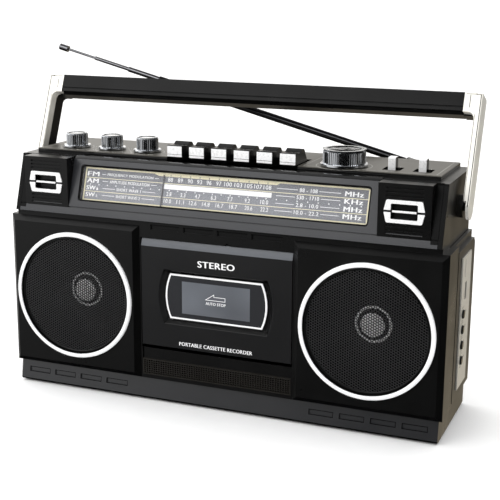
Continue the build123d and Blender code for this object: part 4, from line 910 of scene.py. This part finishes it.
# ---- Tuning knob ----
# A wide chrome-plated knob with a smooth skirt and deep ribs, pressed on a steel spindle that
# winds the dial cord.
low, high = span("tuning_knob")
x, y, foot = (low.x + high.x) / 2, (low.y + high.y) / 2, plate_high.z + 0.4
RIBS, RIB_DEPTH = 60, 0.5
knob = bmesh.new()
turned_profile(knob, [(0.0, 0.0), (17.3, 0.0), (17.9, 0.5), (17.9, 1.6), (17.4, 2.1), (15.0, 2.6), (0.0, 2.6)],
               (x, y, foot), (0, 0, 1), 96)
circle = bmesh.ops.create_circle(knob, cap_ends=True, segments=RIBS * 4, radius=16.2)
for index, v in enumerate(circle["verts"]):
    v.co *= 1.0 - RIB_DEPTH / 16.2 * (index % 4 in (0, 1))
body = [f for f in knob.faces if len(f.verts) == RIBS * 4]
bmesh.ops.translate(knob, vec=(x, y, foot + 2.4), verts=circle["verts"])
grown = bmesh.ops.extrude_face_region(knob, geom=body)
bmesh.ops.translate(knob, vec=(0, 0, 8.2), verts=verts_in(grown))
lid = [f for f in grown["geom"] if isinstance(f, bmesh.types.BMFace)]
for size, lift in ((0.2, 0.2), (0.9, 1.3), (0.9, 0.5), (1.2, 0.0), (0.6, -0.4)):
    bmesh.ops.inset_region(knob, faces=lid, thickness=size)
    bmesh.ops.translate(knob, vec=(0, 0, lift), verts=list({v for f in lid for v in f.verts}))
bmesh.ops.recalc_face_normals(knob, faces=knob.faces)
piece = make_piece("tuning_shell", knob, [plated], "tuning_knob")
piece.data.shade_smooth()
piece.data.set_sharp_from_angle(angle=radians(30))
shaft = bmesh.new()
turned_profile(shaft, [(0.0, low.z), (3.0, low.z), (3.0, 173.0), (5.6, 173.0), (5.6, 181.0), (3.0, 181.0),
                       (3.0, foot + 0.1), (0.0, foot + 0.1)], (x, y, 0), (0, 0, 1), 40)
make_piece("tuning_spindle", shaft, [zinc], "tuning_knob", ("tuning_knob",))

# ---- Slide switch levers ----
# Two plated plastic tabs stand up through slots in the plate and slide sideways over a detent.
for n in (1, 2):
    from_frame("switch_lever_" + str(n), [white_plated, key_black], 0.4,
               lambda at, normal: normal.x > 0.5, edge=0)

# ---- Carrying handle ----
# The grip is a black moulding with a flat front. Its two arms are die castings, chrome plated, with
# thin dark parting lines on their fronts, and turn on pins at the sides of the cabinet.
grip_finish = moulded("polystyrene grip, black", "#080808", "#0d0d0d", 0.30, 0.5, 0.006, 0.15)
from_frame("handle_grip", [grip_finish], 0.6)
arm_plating = metal("die casting, satin chrome plated", "#e6e3da", "#f1efe8", 0.2, (1, 1, 1), 3.0, 0.003,
                    bare=0.25)
for side in ("left", "right"):
    from_frame("handle_arm_" + side, [arm_plating], 0.55)
LEAN = radians(22.2)
up_handle = Vector((0, sin(LEAN), cos(LEAN)))
block_face = facing(Vector((0, 5.0, 169.5)) + Vector((0, -cos(LEAN), sin(LEAN))) * 9.74, (1, 0, 0), up_handle)
joints = bmesh.new()
for x, wide, low_z, high_z in ((174.8, 0.5, 72.0, 81.5), (182.5, 0.6, -2.0, 82.0), (179.3, 0.35, -2.0, 67.0)):
    for at in (-x, x):
        stripe(joints, at - wide / 2, at + wide / 2, (low_z + high_z) / 2, high_z - low_z, block_face)
for side in (-1, 1):
    ends = sorted((side * 171.6, side * 182.5))
    stripe(joints, ends[0], ends[1], 82.3, 0.35, block_face)
make_piece("handle_joints", joints, [grip_finish], frame["nodes"]["handle_grip"]["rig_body"])

# ---- Telescopic aerial ----
# Four drawn brass tubes, nickel and chrome plated, slide in each other and turn in a knuckle on a
# moulded bracket at the back.
tube_plating = metal("brass tube, drawn and chrome plated", "#77777a", "#8c8c8f", 0.12, (1, 1, 1), 3.0, 0.002)
dark_plating = metal("brass tube, black nickel plated", "#3a3a3c", "#4a4a4c", 0.16, (1, 1, 1), 3.0, 0.002)
for name in ("aerial_mid", "aerial_upper", "aerial_tip"):
    dress(name, tube_plating)
for name in ("aerial_base", "aerial_knuckle"):
    dress(name, dark_plating)
dress("aerial_bracket", black_back)

# ---- Side panel ----
# A thin anodised plate is glued in the right-hand side over the card slot, the socket and four
# push buttons. Small printed symbols stand beside the buttons.
anodised = metal("aluminium, brushed, clear anodised", "#c6c3ba", "#d8d5cc", 0.30, (1, 1, 0.05), 0.5, 0.01,
                 bare=0.3)
from_frame("side_panel", [anodised], 0.2)
side_face = facing((span("side_panel")[1].x + 0.03, 0, 0), (0, 1, 0), (0, 0, 1))
symbols = bmesh.new()
for n in range(4):
    low, high = span("side_button_" + str(n + 1))
    y, z = (low.y + high.y) / 2, (low.z + high.z) / 2
    from_frame("side_button_" + str(n + 1), [key_black], 0.2)
    x = y + 8.5
    if n in (0, 3):
        for side in (-1, 1) if n == 3 else (1,):
            patch(symbols, ((x + 1.8 * side, z - 1.5), (x + 3.6 * side, z), (x + 1.8 * side, z + 1.5)), side_face)
        patch(symbols, ((x - 1.4, z - 1.5), (x + 1.4, z), (x - 1.4, z + 1.5)), side_face)
    else:
        for bar in (-1, 1):
            stripe(symbols, x + bar - 0.4, x + bar + 0.4, z, 3.0, side_face)
    for bar in (-1, 1):
        stripe(symbols, y - 3.4, y + 3.4, z + bar * 5.2, 0.35, side_face)
make_piece("side_symbols", symbols, [ink("screen ink, black", "#111112", "#1a1a1b")], "cabinet")
board = moulded("epoxy board with parts, green lacquer", "#0f3a1c", "#1a5228", 0.35, 1.5, 0.02)
for name in ("control_board", "main_board"):
    dress(name, board)
dress("side_board", black_case)

# ---- Back: battery door, mains inlet and transformer ----
# The battery door is moulded like the back, with finger ribs, and hangs on two pins. The inlet is
# a black socket with two tinned pins, and the transformer has a stack of steel plates.
from_frame("battery_door", [black_back], 0.3)
dress("mains_inlet", black_back)
dress("transformer", metal("steel laminations, varnished", "#3d3a36", "#57524b", 0.5, (8, 1, 1), 3.0, 0.05))
